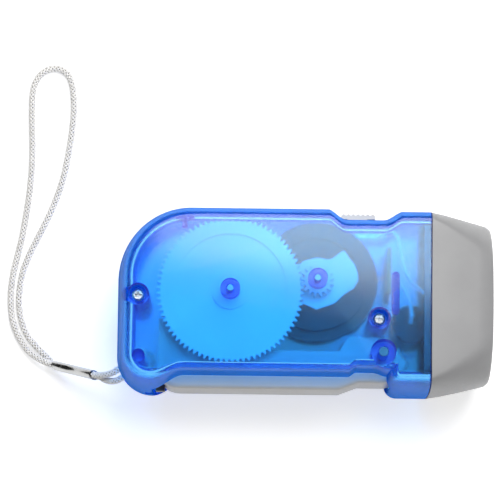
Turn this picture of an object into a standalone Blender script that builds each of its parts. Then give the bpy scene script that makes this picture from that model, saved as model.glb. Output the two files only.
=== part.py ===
"""A squeeze-powered LED flashlight lying on its side, with its see-through case, gear train and wrist strap.

Metres, +Z up. +X runs to the lamp end, +Y to the slide switch and -Y to the squeeze lever.
The case rests on its back face at z = 0, and its two halves meet at half its thickness.
"""

import math

import bmesh
import bpy
from mathutils import Matrix, Vector

# Clearances
FIT_GAP = 0.0003
RUN_GAP = 0.0004
OVERRUN = 0.001
SEAT_OVERLAP = 0.0006

# Whole body
CASE_LENGTH = 0.0865
HEAD_LENGTH = 0.0174
GEAR_TO_LEFT_END = 0.0314
CASE_HEIGHT = 0.0513
CASE_THICKNESS = 0.041
CASE_WALL = 0.0018
EDGE_ROUND = 0.0038
EDGE_POWER_SHARE = 2.3
TIGHT_ROUND_SHARE = 0.35
TOP_CORNER_RADIUS = 0.0205
LOW_CORNER_RADIUS = 0.0096
LEVEL_SHARES = (0.0, 0.45, 0.68, 0.82, 0.91, 0.965, 0.993, 1.0)
FACE_SHARES = (0.75, 0.5, 0.25, 0.0, -0.25, -0.5, -0.75)

# Switch recess in the top edge
SWITCH_RECESS_X = 0.0166
SWITCH_RECESS_FLAT = 0.0100
SWITCH_RAMP = 0.0050
RAMP_CREASE_SHARE = 0.5
SWITCH_RECESS_DEPTH = 0.0029
TOP_EDGE_DROP = 0.0005
KNOB_LEFT = 0.0102
KNOB_LENGTH = 0.0095
KNOB_WIDTH = 0.0070
KNOB_HEIGHT = 0.0011
KNOB_LIFT = 0.0007
KNOB_FOOT_LENGTH = 0.0056
KNOB_STEM = 0.0026
KNOB_STEM_SHIFT = 0.0040
KNOB_RIBS = 7
KNOB_RIB_SHARE = 0.25
KNOB_RIB_HEIGHT = 0.0004
KNOB_TRAVEL = 0.0030
SWITCH_BODY_LENGTH = 0.0085
SWITCH_BODY_HEIGHT = 0.0022
SWITCH_BODY_WIDTH = 0.0060

# Lever recess in the low edge
LEVER_RECESS_DEPTH = 0.0042
LEVER_RAMP = 0.0092
RECESS_RIGHT_END = 0.0121
ARCH_RISE = 0.0012
ARCH_RAMP = 0.0024
ARCH_FLAT = 0.0044
LOBE_LEFT_INSET = 0.0118
LOBE_CORNER_RADIUS = 0.0036
LOBE_TOP_DROP = 0.0010

# Gear train: the big gear carries a small pinion, and drives the clutch pinion
GEAR_AXIS_X = -0.02055
GEAR_AXIS_Y = 0.0020
GEAR_MODULE = 0.0005
GEAR_TEETH = 80
CLUTCH_TEETH = 17
CLUTCH_DIRECTION = math.radians(7.3)
HORN_MODULE = 0.0008
HORN_RADIUS = 0.0416
PINION_TEETH = 10
PIVOT_DIRECTION = math.radians(-22.05)
PRESSURE_ANGLE = math.radians(20)
TOOTH_TIP_SHARE = 0.85
TOOTH_ROOT_SHARE = 1.25
BACKLASH = 0.00016
GEAR_BOTTOM_Z = 0.0316
GEAR_THICKNESS = 0.0020
GEAR_WEB_RADIUS = 0.0157
GEAR_WEB_STEP = 0.0005
GEAR_HUB_RADIUS = 0.0052
AXLE_RADIUS = 0.00085
AXLE_BORE_GAP = 0.00025
AXLE_BOSS_RADIUS = 0.0027
AXLE_SOCKET_WALL = 0.0010

# Lever
LEVER_WIDTH = 0.0180
LEVER_WALL = 0.0016
LEVER_FLOOR = 0.0018
LEVER_TIP_X = -0.0391
LEVER_BOTTOM_INSET = 0.0008
LEVER_TIP_REACH = 0.0049
LEVER_TIP_HEIGHT = 0.0026
LEVER_NECK = 0.0030
KNUCKLE_FROM = math.radians(268)
KNUCKLE_TO = math.radians(345)
LEVER_EDGE_ROUND = 0.0013
LEVER_EDGE_SHARES = ((0.0, 1.0), (0.18, 0.46), (0.5, 0.14), (1.0, 0.0))
LEVER_SLOT_GAP = 0.0007
LEVER_INNER_LEFT = 0.0402
LEVER_INNER_TOP = 0.0055
LEVER_DIP_TOP = 0.0142
LEVER_PIN_RADIUS = 0.0012
LEVER_PIN_GAP = 0.0002
LEVER_BARREL_RADIUS = 0.0026
LEVER_BOSS_RADIUS = 0.0035
KNUCKLE_RADIUS = 0.0077
HORN_WIDTH = 0.0062
HORN_THICKNESS = 0.0030
HORN_BOTTOM_Z = 0.0158
HORN_TEETH_FROM = math.radians(130.5)
HORN_TEETH_TO = math.radians(160.5)

# Lock bolt in the lever tip
BOLT_LENGTH = 0.0066
BOLT_WIDTH = 0.0100
BOLT_HEIGHT = 0.0015
BOLT_TRAVEL = 0.0020
BOLT_TAB_LENGTH = 0.0024
BOLT_TAB_WIDTH = 0.0040
BOLT_TAB_DROP = 0.0023

# Lever spring, a torsion spring round the lever's barrel
SPRING_WIRE_RADIUS = 0.00035
SPRING_TURNS = 4.2
SPRING_PITCH = 0.00125
SPRING_LEG = 0.0075
SPRING_SHORT_LEG = 0.0036
SPRING_LEG_DIRECTION = math.radians(283)
SPRING_POINTS_PER_TURN = 10

# Flywheel, clutch and generator
FLYWHEEL_RADIUS = 0.0167
FLYWHEEL_BOTTOM_Z = 0.0202
FLYWHEEL_HEIGHT = 0.0090
FLYWHEEL_WALL = 0.0016
FLYWHEEL_ROOF = 0.0014
MAGNET_THICKNESS = 0.0022
CLUTCH_PLATE_THICKNESS = 0.0011
CLUTCH_PLATE_RADIUS = 0.0114
RATCHET_RADIUS = 0.0118
RATCHET_HEIGHT = 0.0010
RATCHET_RIM = 0.0014
RATCHET_TEETH = 24
RATCHET_TOOTH = 0.0006
STATOR_RADIUS = 0.0098
STATOR_PLATE = 0.0012
STATOR_CLAWS = 8
BOBBIN_CORE_RADIUS = 0.0046
BOBBIN_RADIUS = 0.0088
BOBBIN_FLANGE = 0.0006
STATOR_POST_RADIUS = 0.0040

# Screws and posts
SCREW_POST_RADIUS = 0.0031
SCREW_RECESS_RADIUS = 0.00235
SCREW_HEAD_RADIUS = 0.0017
SCREW_HEAD_HEIGHT = 0.0013
SCREW_HEAD_Z = 0.0355
SCREW_EDGE_SHARE = 0.6
SCREW_DOME_SHARE = 0.7
SCREW_SHANK_RADIUS = 0.0008
SCREW_LENGTH = 0.0230
SCREW_HOLE_GAP = 0.00025
SCREW_CROSS_LENGTH = 0.0020
SCREW_CROSS_WIDTH = 0.00045
SCREW_CROSS_DEPTH = 0.0007
LEFT_SCREW_X = 0.0459
LEFT_SCREW_Y = 0.0
RIGHT_SCREW_X = 0.0205
RIGHT_SCREW_Y = 0.0059
STRAP_POST_X = 0.0455
STRAP_POST_Y = 0.0169
STRAP_POST_RADIUS = 0.0018

# Ribs inside the front shell
RIB_WIDTH = 0.0021
RIB_LENGTH = 0.0098
RIB_HEIGHT = 0.0030
RIB_X = 0.0249
RIB_Y = 0.0010
T_RIB_X = 0.0333
T_RIB_Y = 0.0215
T_RIB_LENGTH = 0.0053
T_RIB_STEM = 0.0031
T_RIB_WIDTH = 0.0014

# Lamp end
HEAD_NARROWING = 0.0073
HEAD_THINNING = 0.0060
HEAD_FRONT_ROUND = 0.0130
HEAD_BULGE = 0.0005
HEAD_TAPER_POWER_SHARE = 1.25
HEAD_WALL = 0.0016
HEAD_LIP = 0.0011
HEAD_SPIGOT = 0.0018
LENS_THICKNESS = 0.0014
LENS_SETBACK = 0.0010
REFLECTOR_WALL = 0.0010
REFLECTOR_NARROWING = 0.0170
REFLECTOR_THINNING = 0.0120
REFLECTOR_DEPTH = 0.0085
LED_RADIUS = 0.0025
LED_FLANGE_RADIUS = 0.0029
LED_FLANGE = 0.0010
LED_BODY = 0.0060
LED_CIRCLE = 0.0068
LED_COUNT = 3
LAMP_BOARD_THICKNESS = 0.0014
LAMP_BOARD_RADIUS = 0.0110

# Electrical parts in the case
BOARD_X = 0.0229
BOARD_THICKNESS = 0.0014
BOARD_LOW_Y = 0.0022
BOARD_WIDTH = 0.0130
BOARD_HEIGHT = 0.0260
BOARD_RIB = 0.0010
BOARD_RIB_HEIGHT = 0.0050
BATTERY_RADIUS = 0.0054
BATTERY_LENGTH = 0.0212
BATTERY_CELLS = 4
BATTERY_LOW_Z = 0.0042
BATTERY_X = 0.0297
BATTERY_Y = 0.0060
CRADLE_WALL = 0.0010
CRADLE_HEIGHT = 0.0030
WIRE_RADIUS = 0.00055

# Wrist strap
STRAP_WIDTH = 0.0020
STRAP_HOLE_HEIGHT = 0.0070
STRAP_HOLE_DIRECTION = math.radians(206)
STRAP_HOLE_WIDTH = 0.0042
FERRULE_HALF_WIDTH = 0.00135
FERRULE_HALF_HEIGHT = 0.0023
FERRULE_SWELL_SHARES = ((0.0, 1.0), (0.3, 1.0), (0.36, 0.86), (0.64, 0.86), (0.7, 1.0), (1.0, 1.0))

# Facets
ROUND_STEPS = 24
SMALL_STEPS = 16
CORNER_STEPS = 10
RAMP_STEPS = 6

# Places worked out from the sizes above
PARTING_Z = CASE_THICKNESS / 2
LEFT_X = GEAR_AXIS_X - GEAR_TO_LEFT_END
JOINT_X = LEFT_X + CASE_LENGTH
FRONT_X = JOINT_X + HEAD_LENGTH
TOP_Y = CASE_HEIGHT / 2
LOW_Y = -CASE_HEIGHT / 2
HEAD_DROP = TOP_EDGE_DROP / 2
HEAD_FRONT_HEIGHT = CASE_HEIGHT - HEAD_NARROWING
HEAD_FRONT_THICKNESS = CASE_THICKNESS - HEAD_THINNING
REFLECTOR_REAR_HEIGHT = HEAD_FRONT_HEIGHT - REFLECTOR_NARROWING
REFLECTOR_REAR_THICKNESS = HEAD_FRONT_THICKNESS - REFLECTOR_THINNING
RECESS_Y = LOW_Y + LEVER_RECESS_DEPTH
ARCH_Y = RECESS_Y + ARCH_RISE
LOBE_X = JOINT_X - LOBE_LEFT_INSET
SWITCH_FLOOR_Y = TOP_Y - SWITCH_RECESS_DEPTH
CASE_INNER_TOP_Z = CASE_THICKNESS - CASE_WALL

GEAR_AXIS = (GEAR_AXIS_X, GEAR_AXIS_Y)
CLUTCH_DISTANCE = GEAR_MODULE * (GEAR_TEETH + CLUTCH_TEETH) / 2
FLYWHEEL_AXIS = (
    GEAR_AXIS_X + CLUTCH_DISTANCE * math.cos(CLUTCH_DIRECTION),
    GEAR_AXIS_Y + CLUTCH_DISTANCE * math.sin(CLUTCH_DIRECTION),
)
PINION_RADIUS = HORN_MODULE * PINION_TEETH / 2
HORN_DISTANCE = HORN_RADIUS + PINION_RADIUS
HORN_TEETH_IN_CIRCLE = round(2 * HORN_RADIUS / HORN_MODULE)
PIVOT = (
    GEAR_AXIS_X + HORN_DISTANCE * math.cos(PIVOT_DIRECTION),
    GEAR_AXIS_Y + HORN_DISTANCE * math.sin(PIVOT_DIRECTION),
)
LEVER_LOW_Z = PARTING_Z - LEVER_WIDTH / 2
LEVER_HIGH_Z = PARTING_Z + LEVER_WIDTH / 2
LEVER_BOTTOM_Y = LOW_Y + LEVER_BOTTOM_INSET
LEVER_FLOOR_Y = LEVER_BOTTOM_Y + LEVER_FLOOR
SLOT_LOW_Z = LEVER_LOW_Z - LEVER_SLOT_GAP
SLOT_HIGH_Z = LEVER_HIGH_Z + LEVER_SLOT_GAP
FLYWHEEL_TOP_Z = FLYWHEEL_BOTTOM_Z + FLYWHEEL_HEIGHT
CLUTCH_BOTTOM_Z = FLYWHEEL_TOP_Z + RUN_GAP
GEAR_TOP_Z = GEAR_BOTTOM_Z + GEAR_THICKNESS
CLUTCH_TOP_Z = GEAR_TOP_Z + RUN_GAP
LEFT_SCREW = (-LEFT_SCREW_X, -LEFT_SCREW_Y)
RIGHT_SCREW = (RIGHT_SCREW_X, -RIGHT_SCREW_Y)
STRAP_POST = (-STRAP_POST_X, -STRAP_POST_Y)

# Route of the wrist strap's loop on the table, from the ferrule round and back
STRAP_ROUTE = (
    (-0.06981, -0.01656, 0.00281),
    (-0.07075, -0.01620, 0.00212),
    (-0.0719, -0.0149, 0.00150),
    (-0.0732, -0.0134, 0.00115),
    (-0.0755, -0.0112, 0.00105),
    (-0.0778, -0.0087, 0.00105),
    (-0.0794, -0.0060, 0.00105),
    (-0.0804, -0.0031, 0.00105),
    (-0.0810, -0.0002, 0.00105),
    (-0.0812, 0.0028, 0.00105),
    (-0.0810, 0.0064, 0.00105),
    (-0.0802, 0.0111, 0.00105),
    (-0.0784, 0.0160, 0.00105),
    (-0.0761, 0.0209, 0.00105),
    (-0.0737, 0.0259, 0.00105),
    (-0.0713, 0.0317, 0.00105),
    (-0.0694, 0.0376, 0.00105),
    (-0.0682, 0.0434, 0.00105),
    (-0.0673, 0.0493, 0.00105),
    (-0.0667, 0.0552, 0.00105),
    (-0.0666, 0.0600, 0.00105),
    (-0.0671, 0.0648, 0.00105),
    (-0.0683, 0.0681, 0.00105),
    (-0.0706, 0.0699, 0.00105),
    (-0.0733, 0.0701, 0.00105),
    (-0.0761, 0.0687, 0.00105),
    (-0.0779, 0.0659, 0.00105),
    (-0.0786, 0.0629, 0.00105),
    (-0.0787, 0.0579, 0.00105),
    (-0.0785, 0.0521, 0.00105),
    (-0.0783, 0.0462, 0.00105),
    (-0.0784, 0.0404, 0.00105),
    (-0.0788, 0.0345, 0.00105),
    (-0.0795, 0.0287, 0.00105),
    (-0.0807, 0.0209, 0.00105),
    (-0.0818, 0.0159, 0.00105),
    (-0.0829, 0.0110, 0.00105),
    (-0.0835, 0.0063, 0.00105),
    (-0.0836, 0.0026, 0.00105),
    (-0.0834, -0.0003, 0.00105),
    (-0.0829, -0.0034, 0.00105),
    (-0.0819, -0.0064, 0.00105),
    (-0.0803, -0.0094, 0.00115),
    (-0.0782, -0.0121, 0.00160),
    (-0.0753, -0.0143, 0.00270),
    (-0.0723, -0.0158, 0.00385),
    (-0.07111, -0.01617, 0.00466),
)

# Route of the strap's short bight, from the ferrule in through the case, round the post and out again
BIGHT_ROUTE = (
    (-0.05912, -0.01982, 0.01379),
    (-0.05815, -0.02011, 0.01453),
    (-0.0569, -0.0202, 0.0157),
    (-0.0554, -0.0202, 0.0171),
    (-0.0541, -0.0200, 0.0182),
    (-0.0529, -0.0196, 0.0191),
    (-0.0519, -0.0190, 0.0199),
    (-0.0507, -0.0184, 0.0204),
    (-0.0494, -0.0171, 0.0205),
    (-0.0484, -0.0153, 0.0205),
    (-0.0467, -0.0138, 0.0205),
    (-0.0446, -0.0136, 0.0205),
    (-0.0426, -0.0152, 0.0205),
    (-0.0422, -0.0177, 0.0205),
    (-0.0433, -0.0196, 0.0205),
    (-0.0451, -0.0203, 0.0205),
    (-0.0469, -0.0207, 0.0205),
    (-0.0490, -0.0209, 0.0203),
    (-0.0507, -0.0213, 0.0196),
    (-0.0518, -0.0218, 0.0186),
    (-0.0530, -0.0220, 0.0174),
    (-0.0544, -0.0218, 0.0157),
    (-0.0557, -0.0213, 0.0141),
    (-0.05670, -0.02055, 0.01279),
    (-0.05782, -0.02021, 0.01194),
)
FERRULE_LOW = (-0.06984, -0.01655, 0.0042)
FERRULE_HIGH = (-0.05882, -0.01991, 0.0126)

# Routes of the leads
LAMP_LEAD_ROUTE = (
    (0.01930, 0.01720, 0.0290),
    (0.02330, 0.01990, 0.0292),
    (0.02590, 0.01830, 0.0290),
    (0.02670, 0.01430, 0.0288),
    (0.02750, 0.01030, 0.0286),
    (0.02960, 0.00580, 0.0284),
    (0.03330, 0.00270, 0.0270),
    (0.03620, 0.00150, 0.0262),
)
BATTERY_LEAD_ROUTE = (
    (0.02970, -0.00570, 0.0260),
    (0.02990, -0.00470, 0.0274),
    (0.02950, -0.00070, 0.0274),
    (0.02830, 0.00330, 0.0256),
    (0.02670, 0.00590, 0.0235),
    (0.02490, 0.00690, 0.0224),
)
COIL_LEAD_ROUTE = (
    (0.00830, 0.00630, 0.0185),
    (0.00890, 0.00690, 0.0150),
    (0.01030, 0.00750, 0.0100),
    (0.01330, 0.00810, 0.0066),
    (0.01730, 0.00850, 0.0062),
    (0.02030, 0.00870, 0.0072),
    (0.02220, 0.00870, 0.0086),
)


def clear_scene():
    for obj in list(bpy.data.objects):
        bpy.data.objects.remove(obj, do_unlink=True)


def material(name, colour, roughness, metallic=0.0, transmission=0.0):
    made = bpy.data.materials.new(name)
    made.use_nodes = True
    shader = made.node_tree.nodes["Principled BSDF"]
    shader.inputs["Base Color"].default_value = (*colour, 1.0)
    shader.inputs["Roughness"].default_value = roughness
    shader.inputs["Metallic"].default_value = metallic
    shader.inputs["Transmission Weight"].default_value = transmission
    return made


def blue_plastic():
    return material("clear_blue_plastic", (0.03, 0.20, 0.85), 0.32, transmission=0.9)


def grey_plastic():
    return material("grey_plastic", (0.36, 0.35, 0.35), 0.42)


def white_plastic():
    return material("white_plastic", (0.80, 0.80, 0.76), 0.45)


def black_plastic():
    return material("black_plastic", (0.02, 0.02, 0.025), 0.40)


def clear_plastic():
    return material("clear_plastic", (0.92, 0.94, 0.95), 0.05, transmission=1.0)


def mirror_plastic():
    return material("mirror_plastic", (0.85, 0.85, 0.86), 0.10, metallic=1.0)


def steel():
    return material("steel", (0.62, 0.62, 0.63), 0.28, metallic=1.0)


def magnet_black():
    return material("magnet", (0.05, 0.05, 0.055), 0.55, metallic=0.2)


def copper():
    return material("copper", (0.72, 0.32, 0.14), 0.35, metallic=1.0)


def board_green():
    return material("board", (0.05, 0.28, 0.14), 0.50)


def sleeve():
    return material("battery_sleeve", (0.02, 0.03, 0.10), 0.45)


def lead_colour():
    return material("lead", (0.75, 0.78, 0.85), 0.50)


def braid():
    return material("braid", (0.58, 0.55, 0.52), 0.60)


def shade(obj, angle=math.radians(35)):
    obj.data.shade_smooth()
    obj.data.set_sharp_from_angle(angle=angle)
    return obj


def object_from(name, bm, finish, sharp=math.radians(35)):
    bmesh.ops.recalc_face_normals(bm, faces=bm.faces)
    if bm.calc_volume(signed=True) < 0:
        bmesh.ops.reverse_faces(bm, faces=bm.faces)
    mesh = bpy.data.meshes.new(name)
    bm.to_mesh(mesh)
    bm.free()
    obj = bpy.data.objects.new(name, mesh)
    bpy.context.scene.collection.objects.link(obj)
    if finish:
        mesh.materials.append(finish)
    return shade(obj, sharp)


def loft(name, rings, finish=None, closed_loop=False):
    """A body through rings of equal counts, capped at its two ends or joined end to end."""
    bm = bmesh.new()
    rows = [[bm.verts.new(point) for point in ring] for ring in rings]
    pairs = list(zip(rows, rows[1:]))
    if closed_loop:
        pairs.append((rows[-1], rows[0]))
    for low, high in pairs:
        count = len(low)
        for i in range(count):
            j = (i + 1) % count
            bm.faces.new((low[i], low[j], high[j], high[i]))
    if not closed_loop:
        bm.faces.new(rows[0][::-1])
        bm.faces.new(rows[-1])
    return object_from(name, bm, finish)


def prism(name, outline, low, high, finish=None):
    return loft(name, [[(x, y, z) for x, y in outline] for z in (low, high)], finish)


def block(name, x_range, y_range, z_range, finish=None):
    x0, x1 = x_range
    y0, y1 = y_range
    return prism(name, ((x0, y0), (x1, y0), (x1, y1), (x0, y1)), *z_range, finish)


def circle(centre, radius, steps=ROUND_STEPS, start=0.0):
    return [
        (
            centre[0] + radius * math.cos(start + 2 * math.pi * i / steps),
            centre[1] + radius * math.sin(start + 2 * math.pi * i / steps),
        )
        for i in range(steps)
    ]


def cylinder(name, centre, radius, low, high, finish=None, steps=ROUND_STEPS):
    return prism(name, circle(centre, radius, steps), low, high, finish)


def turned(name, centre, profile, finish=None, steps=ROUND_STEPS):
    """A body turned about a vertical axis from a closed profile of (radius, height) pairs off the axis."""
    rings = []
    for i in range(steps):
        angle = 2 * math.pi * i / steps
        rings.append(
            [(centre[0] + r * math.cos(angle), centre[1] + r * math.sin(angle), z) for r, z in profile]
        )
    return loft(name, rings, finish, closed_loop=True)


def helper(obj):
    """Marks a body that only shapes another one."""
    obj.hide_render = True
    obj.display_type = "WIRE"
    return obj


def combine(target, tool, operation):
    modifier = target.modifiers.new(operation.lower(), "BOOLEAN")
    modifier.operation = operation
    modifier.solver = "EXACT"
    modifier.object = helper(tool)


def fuse(target, *tools):
    for tool in tools:
        combine(target, tool, "UNION")


def cut(target, *tools):
    for tool in tools:
        combine(target, tool, "DIFFERENCE")


def arc(centre, radius, start, end, steps=CORNER_STEPS):
    return [
        (
            centre[0] + radius * math.cos(start + (end - start) * i / steps),
            centre[1] + radius * math.sin(start + (end - start) * i / steps),
        )
        for i in range(steps + 1)
    ]


def ramp(start, end, steps=RAMP_STEPS, crease=0.0):
    """An S-shaped curve between two levels; a crease share makes it set off steeply at its start."""
    points = []
    for i in range(steps + 1):
        along = i / steps
        rise = (1 - math.cos(math.pi * along)) / 2
        rise += (math.sin(math.pi * along / 2) - rise) * crease
        points.append((start[0] + (end[0] - start[0]) * along, start[1] + (end[1] - start[1]) * rise))
    return points


def edge_inset(share, depth=EDGE_ROUND):
    """How far the side has drawn in at a share of the way from the parting plane to the face."""
    return depth * (1 - (1 - share**EDGE_POWER_SHARE) ** (1 / EDGE_POWER_SHARE))


def case_outline(edge, wall, right_x):
    """The case seen from the front, drawn in by its edge and a wall, from the top right anticlockwise."""
    inset = edge + wall
    tight_inset = edge * TIGHT_ROUND_SHARE + wall
    top, low = TOP_Y - inset, LOW_Y + inset
    switch_floor = SWITCH_FLOOR_Y - inset
    recess, arch = RECESS_Y + tight_inset, ARCH_Y + tight_inset
    flat_left = SWITCH_RECESS_X - SWITCH_RECESS_FLAT / 2
    flat_right = SWITCH_RECESS_X + SWITCH_RECESS_FLAT / 2
    top_radius = TOP_CORNER_RADIUS - inset
    low_radius = LOW_CORNER_RADIUS - inset
    lobe_radius = max(LOBE_CORNER_RADIUS - tight_inset, FIT_GAP)
    lobe_x = LOBE_X + tight_inset
    ramp_start = LEFT_X + LOW_CORNER_RADIUS
    arch_left = RECESS_RIGHT_END
    arch_right = arch_left + ARCH_RAMP + ARCH_FLAT
    points = [(right_x, top - TOP_EDGE_DROP)]
    crease = RAMP_CREASE_SHARE
    points += ramp((flat_right + SWITCH_RAMP, top - TOP_EDGE_DROP), (flat_right, switch_floor), crease=crease)
    points += ramp((flat_left - SWITCH_RAMP, top), (flat_left, switch_floor), crease=crease)[::-1]
    points += arc(
        (LEFT_X + TOP_CORNER_RADIUS, TOP_Y - TOP_CORNER_RADIUS), top_radius, math.pi / 2, math.pi
    )
    points += arc((ramp_start, LOW_Y + LOW_CORNER_RADIUS), low_radius, math.pi, 3 * math.pi / 2)
    points += ramp((ramp_start, low), (ramp_start + LEVER_RAMP, recess))[1:]
    points += ramp((arch_left, recess), (arch_left + ARCH_RAMP, arch))
    points += ramp((arch_right, arch), (lobe_x, arch - LOBE_TOP_DROP), RAMP_STEPS // 2)
    points += arc(
        (lobe_x + lobe_radius, low + lobe_radius), lobe_radius, math.pi, 3 * math.pi / 2, RAMP_STEPS
    )
    points.append((right_x, low))
    return points


def shell_body(name, side, finish):
    """One half of the case: side is 1 for the front half and -1 for the back half."""
    half = PARTING_Z - FIT_GAP / 2
    base = PARTING_Z + side * FIT_GAP / 2
    rings = [
        [(x, y, base + side * half * share) for x, y in case_outline(edge_inset(share), 0.0, JOINT_X)]
        for share in LEVEL_SHARES
    ]
    shell = loft(name, rings, finish)
    depth = half - CASE_WALL
    hollow = [
        [
            (x, y, base + side * depth * share)
            for x, y in case_outline(edge_inset(share), CASE_WALL, JOINT_X + OVERRUN)
        ]
        for share in LEVEL_SHARES
    ]
    mouth = [(x, y, base - side * OVERRUN) for x, y, z in hollow[0]]
    cut(shell, loft(name + "_hollow", [mouth] + hollow))
    return shell


def cut_case_openings(shell, side):
    """The lever's slot, the switch's slot and the strap's hole, each shared by the two halves."""
    name = shell.name
    below = LOW_Y - OVERRUN
    far_left = LEVER_TIP_X - LEVER_WALL - LEVER_SLOT_GAP * 2
    slot_top = ARCH_Y + CASE_WALL + OVERRUN
    lobe_top = LOW_Y + CASE_WALL
    slots = [
        ((far_left, LOBE_X + OVERRUN), (below, slot_top), (SLOT_LOW_Z, SLOT_HIGH_Z)),
        ((LOBE_X, PIVOT[0] + KNUCKLE_RADIUS + RUN_GAP), (lobe_top, slot_top), (SLOT_LOW_Z, SLOT_HIGH_Z)),
        (
            (far_left - BOLT_TRAVEL, far_left + OVERRUN),
            (below, LEVER_FLOOR_Y + OVERRUN),
            (PARTING_Z - BOLT_TAB_WIDTH / 2 - RUN_GAP, PARTING_Z + BOLT_TAB_WIDTH / 2 + RUN_GAP),
        ),
        (
            (knob_stem_x() - KNOB_STEM / 2 - RUN_GAP, knob_stem_x() + KNOB_STEM / 2 + KNOB_TRAVEL + RUN_GAP),
            (SWITCH_FLOOR_Y - CASE_WALL - OVERRUN, TOP_Y + OVERRUN),
            (PARTING_Z - KNOB_STEM / 2 - RUN_GAP, PARTING_Z + KNOB_STEM / 2 + RUN_GAP),
        ),
    ]
    for number, slot in enumerate(slots):
        cut(shell, block(f"{name}_slot_{number}", *slot))
    near, far = LOW_CORNER_RADIUS - CASE_WALL * 3, LOW_CORNER_RADIUS + OVERRUN
    half = STRAP_HOLE_HEIGHT / 2
    centre = (LEFT_X + LOW_CORNER_RADIUS, LOW_Y + LOW_CORNER_RADIUS)
    along = (math.cos(STRAP_HOLE_DIRECTION), math.sin(STRAP_HOLE_DIRECTION))
    outline = [
        (centre[0] + reach * along[0] - side * along[1], centre[1] + reach * along[1] + side * along[0])
        for reach, side in ((near, -half), (far, -half), (far, half), (near, half))
    ]
    hole_low, hole_high = PARTING_Z - STRAP_HOLE_WIDTH / 2, PARTING_Z + STRAP_HOLE_WIDTH / 2
    cut(shell, prism(f"{name}_strap_hole", outline, hole_low, hole_high))


def knob_foot_left():
    return SWITCH_RECESS_X - SWITCH_RECESS_FLAT / 2 + FIT_GAP


def knob_stem_x():
    return knob_foot_left() + KNOB_STEM_SHIFT


def front_shell():
    shell = shell_body("front_shell", 1, blue_plastic())
    face = CASE_INNER_TOP_Z + CASE_WALL / 2
    base = PARTING_Z + FIT_GAP / 2
    axle_hole = AXLE_RADIUS + AXLE_BORE_GAP
    bosses = [
        (GEAR_AXIS, AXLE_BOSS_RADIUS, GEAR_TOP_Z + RUN_GAP),
        (FLYWHEEL_AXIS, AXLE_BOSS_RADIUS, CLUTCH_TOP_Z + RUN_GAP),
        (PIVOT, LEVER_BOSS_RADIUS, LEVER_HIGH_Z + RUN_GAP),
        (LEFT_SCREW, SCREW_POST_RADIUS, base),
        (RIGHT_SCREW, SCREW_POST_RADIUS, base),
        (STRAP_POST, STRAP_POST_RADIUS, base),
    ]
    for number, (centre, radius, low) in enumerate(bosses):
        fuse(shell, cylinder(f"front_boss_{number}", centre, radius, low, face))
    fuse(shell, front_rib("front_rib", face), *front_t_rib(face))
    cut_case_openings(shell, 1)
    socket_top = CASE_THICKNESS - AXLE_SOCKET_WALL
    for number, (centre, radius, low) in enumerate(bosses[:3]):
        hole = axle_hole if number < 2 else LEVER_PIN_RADIUS + LEVER_PIN_GAP
        name = f"front_socket_{number}"
        cut(shell, cylinder(name, centre, hole, low - OVERRUN, socket_top, steps=SMALL_STEPS))
    for number, centre in enumerate((LEFT_SCREW, RIGHT_SCREW)):
        shank = SCREW_SHANK_RADIUS + SCREW_HOLE_GAP
        cut(
            shell,
            cylinder(f"screw_way_{number}", centre, shank, base - OVERRUN, face, steps=SMALL_STEPS),
            cylinder(
                f"screw_recess_{number}", centre, SCREW_RECESS_RADIUS, SCREW_HEAD_Z, CASE_THICKNESS + OVERRUN
            ),
        )
    return shell


def front_rib(name, face):
    """The upright rib between the lamp leads and the battery, with round ends."""
    low, high = RIB_Y - RIB_LENGTH / 2, RIB_Y + RIB_LENGTH / 2
    outline = arc((RIB_X, low), RIB_WIDTH / 2, math.pi, 2 * math.pi, RAMP_STEPS)
    outline += arc((RIB_X, high), RIB_WIDTH / 2, 0.0, math.pi, RAMP_STEPS)
    return prism(name, outline, face - RIB_HEIGHT, face)


def front_t_rib(face):
    """The small T-shaped stiffener in the top left corner."""
    x, y = -T_RIB_X, T_RIB_Y
    bar = block(
        "t_rib_bar",
        (x - T_RIB_LENGTH / 2, x + T_RIB_LENGTH / 2),
        (y - T_RIB_WIDTH / 2, y + T_RIB_WIDTH / 2),
        (face - RIB_HEIGHT, face),
    )
    stem = block(
        "t_rib_stem",
        (x - T_RIB_WIDTH / 2, x + T_RIB_WIDTH / 2),
        (y - T_RIB_STEM, y),
        (face - RIB_HEIGHT, face),
    )
    return bar, stem


def back_shell():
    shell = shell_body("back_shell", -1, blue_plastic())
    face = CASE_WALL / 2
    top = PARTING_Z - FIT_GAP / 2
    bosses = [
        (GEAR_AXIS, AXLE_BOSS_RADIUS, HORN_BOTTOM_Z - RUN_GAP * 2),
        (FLYWHEEL_AXIS, STATOR_POST_RADIUS, stator_bottom() - FIT_GAP),
        (PIVOT, LEVER_BOSS_RADIUS, LEVER_LOW_Z - RUN_GAP),
        (LEFT_SCREW, SCREW_POST_RADIUS, top),
        (RIGHT_SCREW, SCREW_POST_RADIUS, top),
        (STRAP_POST, STRAP_POST_RADIUS, top),
    ]
    for number, (centre, radius, high) in enumerate(bosses):
        fuse(shell, cylinder(f"back_boss_{number}", centre, radius, face, high))
    fuse(shell, battery_cradle(face), *board_ribs(face))
    cut_case_openings(shell, -1)
    for number, (centre, radius, high) in enumerate(bosses[:3]):
        hole = AXLE_RADIUS + AXLE_BORE_GAP if number < 2 else LEVER_PIN_RADIUS + LEVER_PIN_GAP
        name = f"back_socket_{number}"
        cut(shell, cylinder(name, centre, hole, CASE_WALL, high + OVERRUN, steps=SMALL_STEPS))
    for number, centre in enumerate((LEFT_SCREW, RIGHT_SCREW)):
        hole = SCREW_SHANK_RADIUS + SCREW_HOLE_GAP
        low = SCREW_HEAD_Z - SCREW_LENGTH - OVERRUN
        cut(shell, cylinder(f"screw_pilot_{number}", centre, hole, low, top + OVERRUN, steps=SMALL_STEPS))
    return shell


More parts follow.
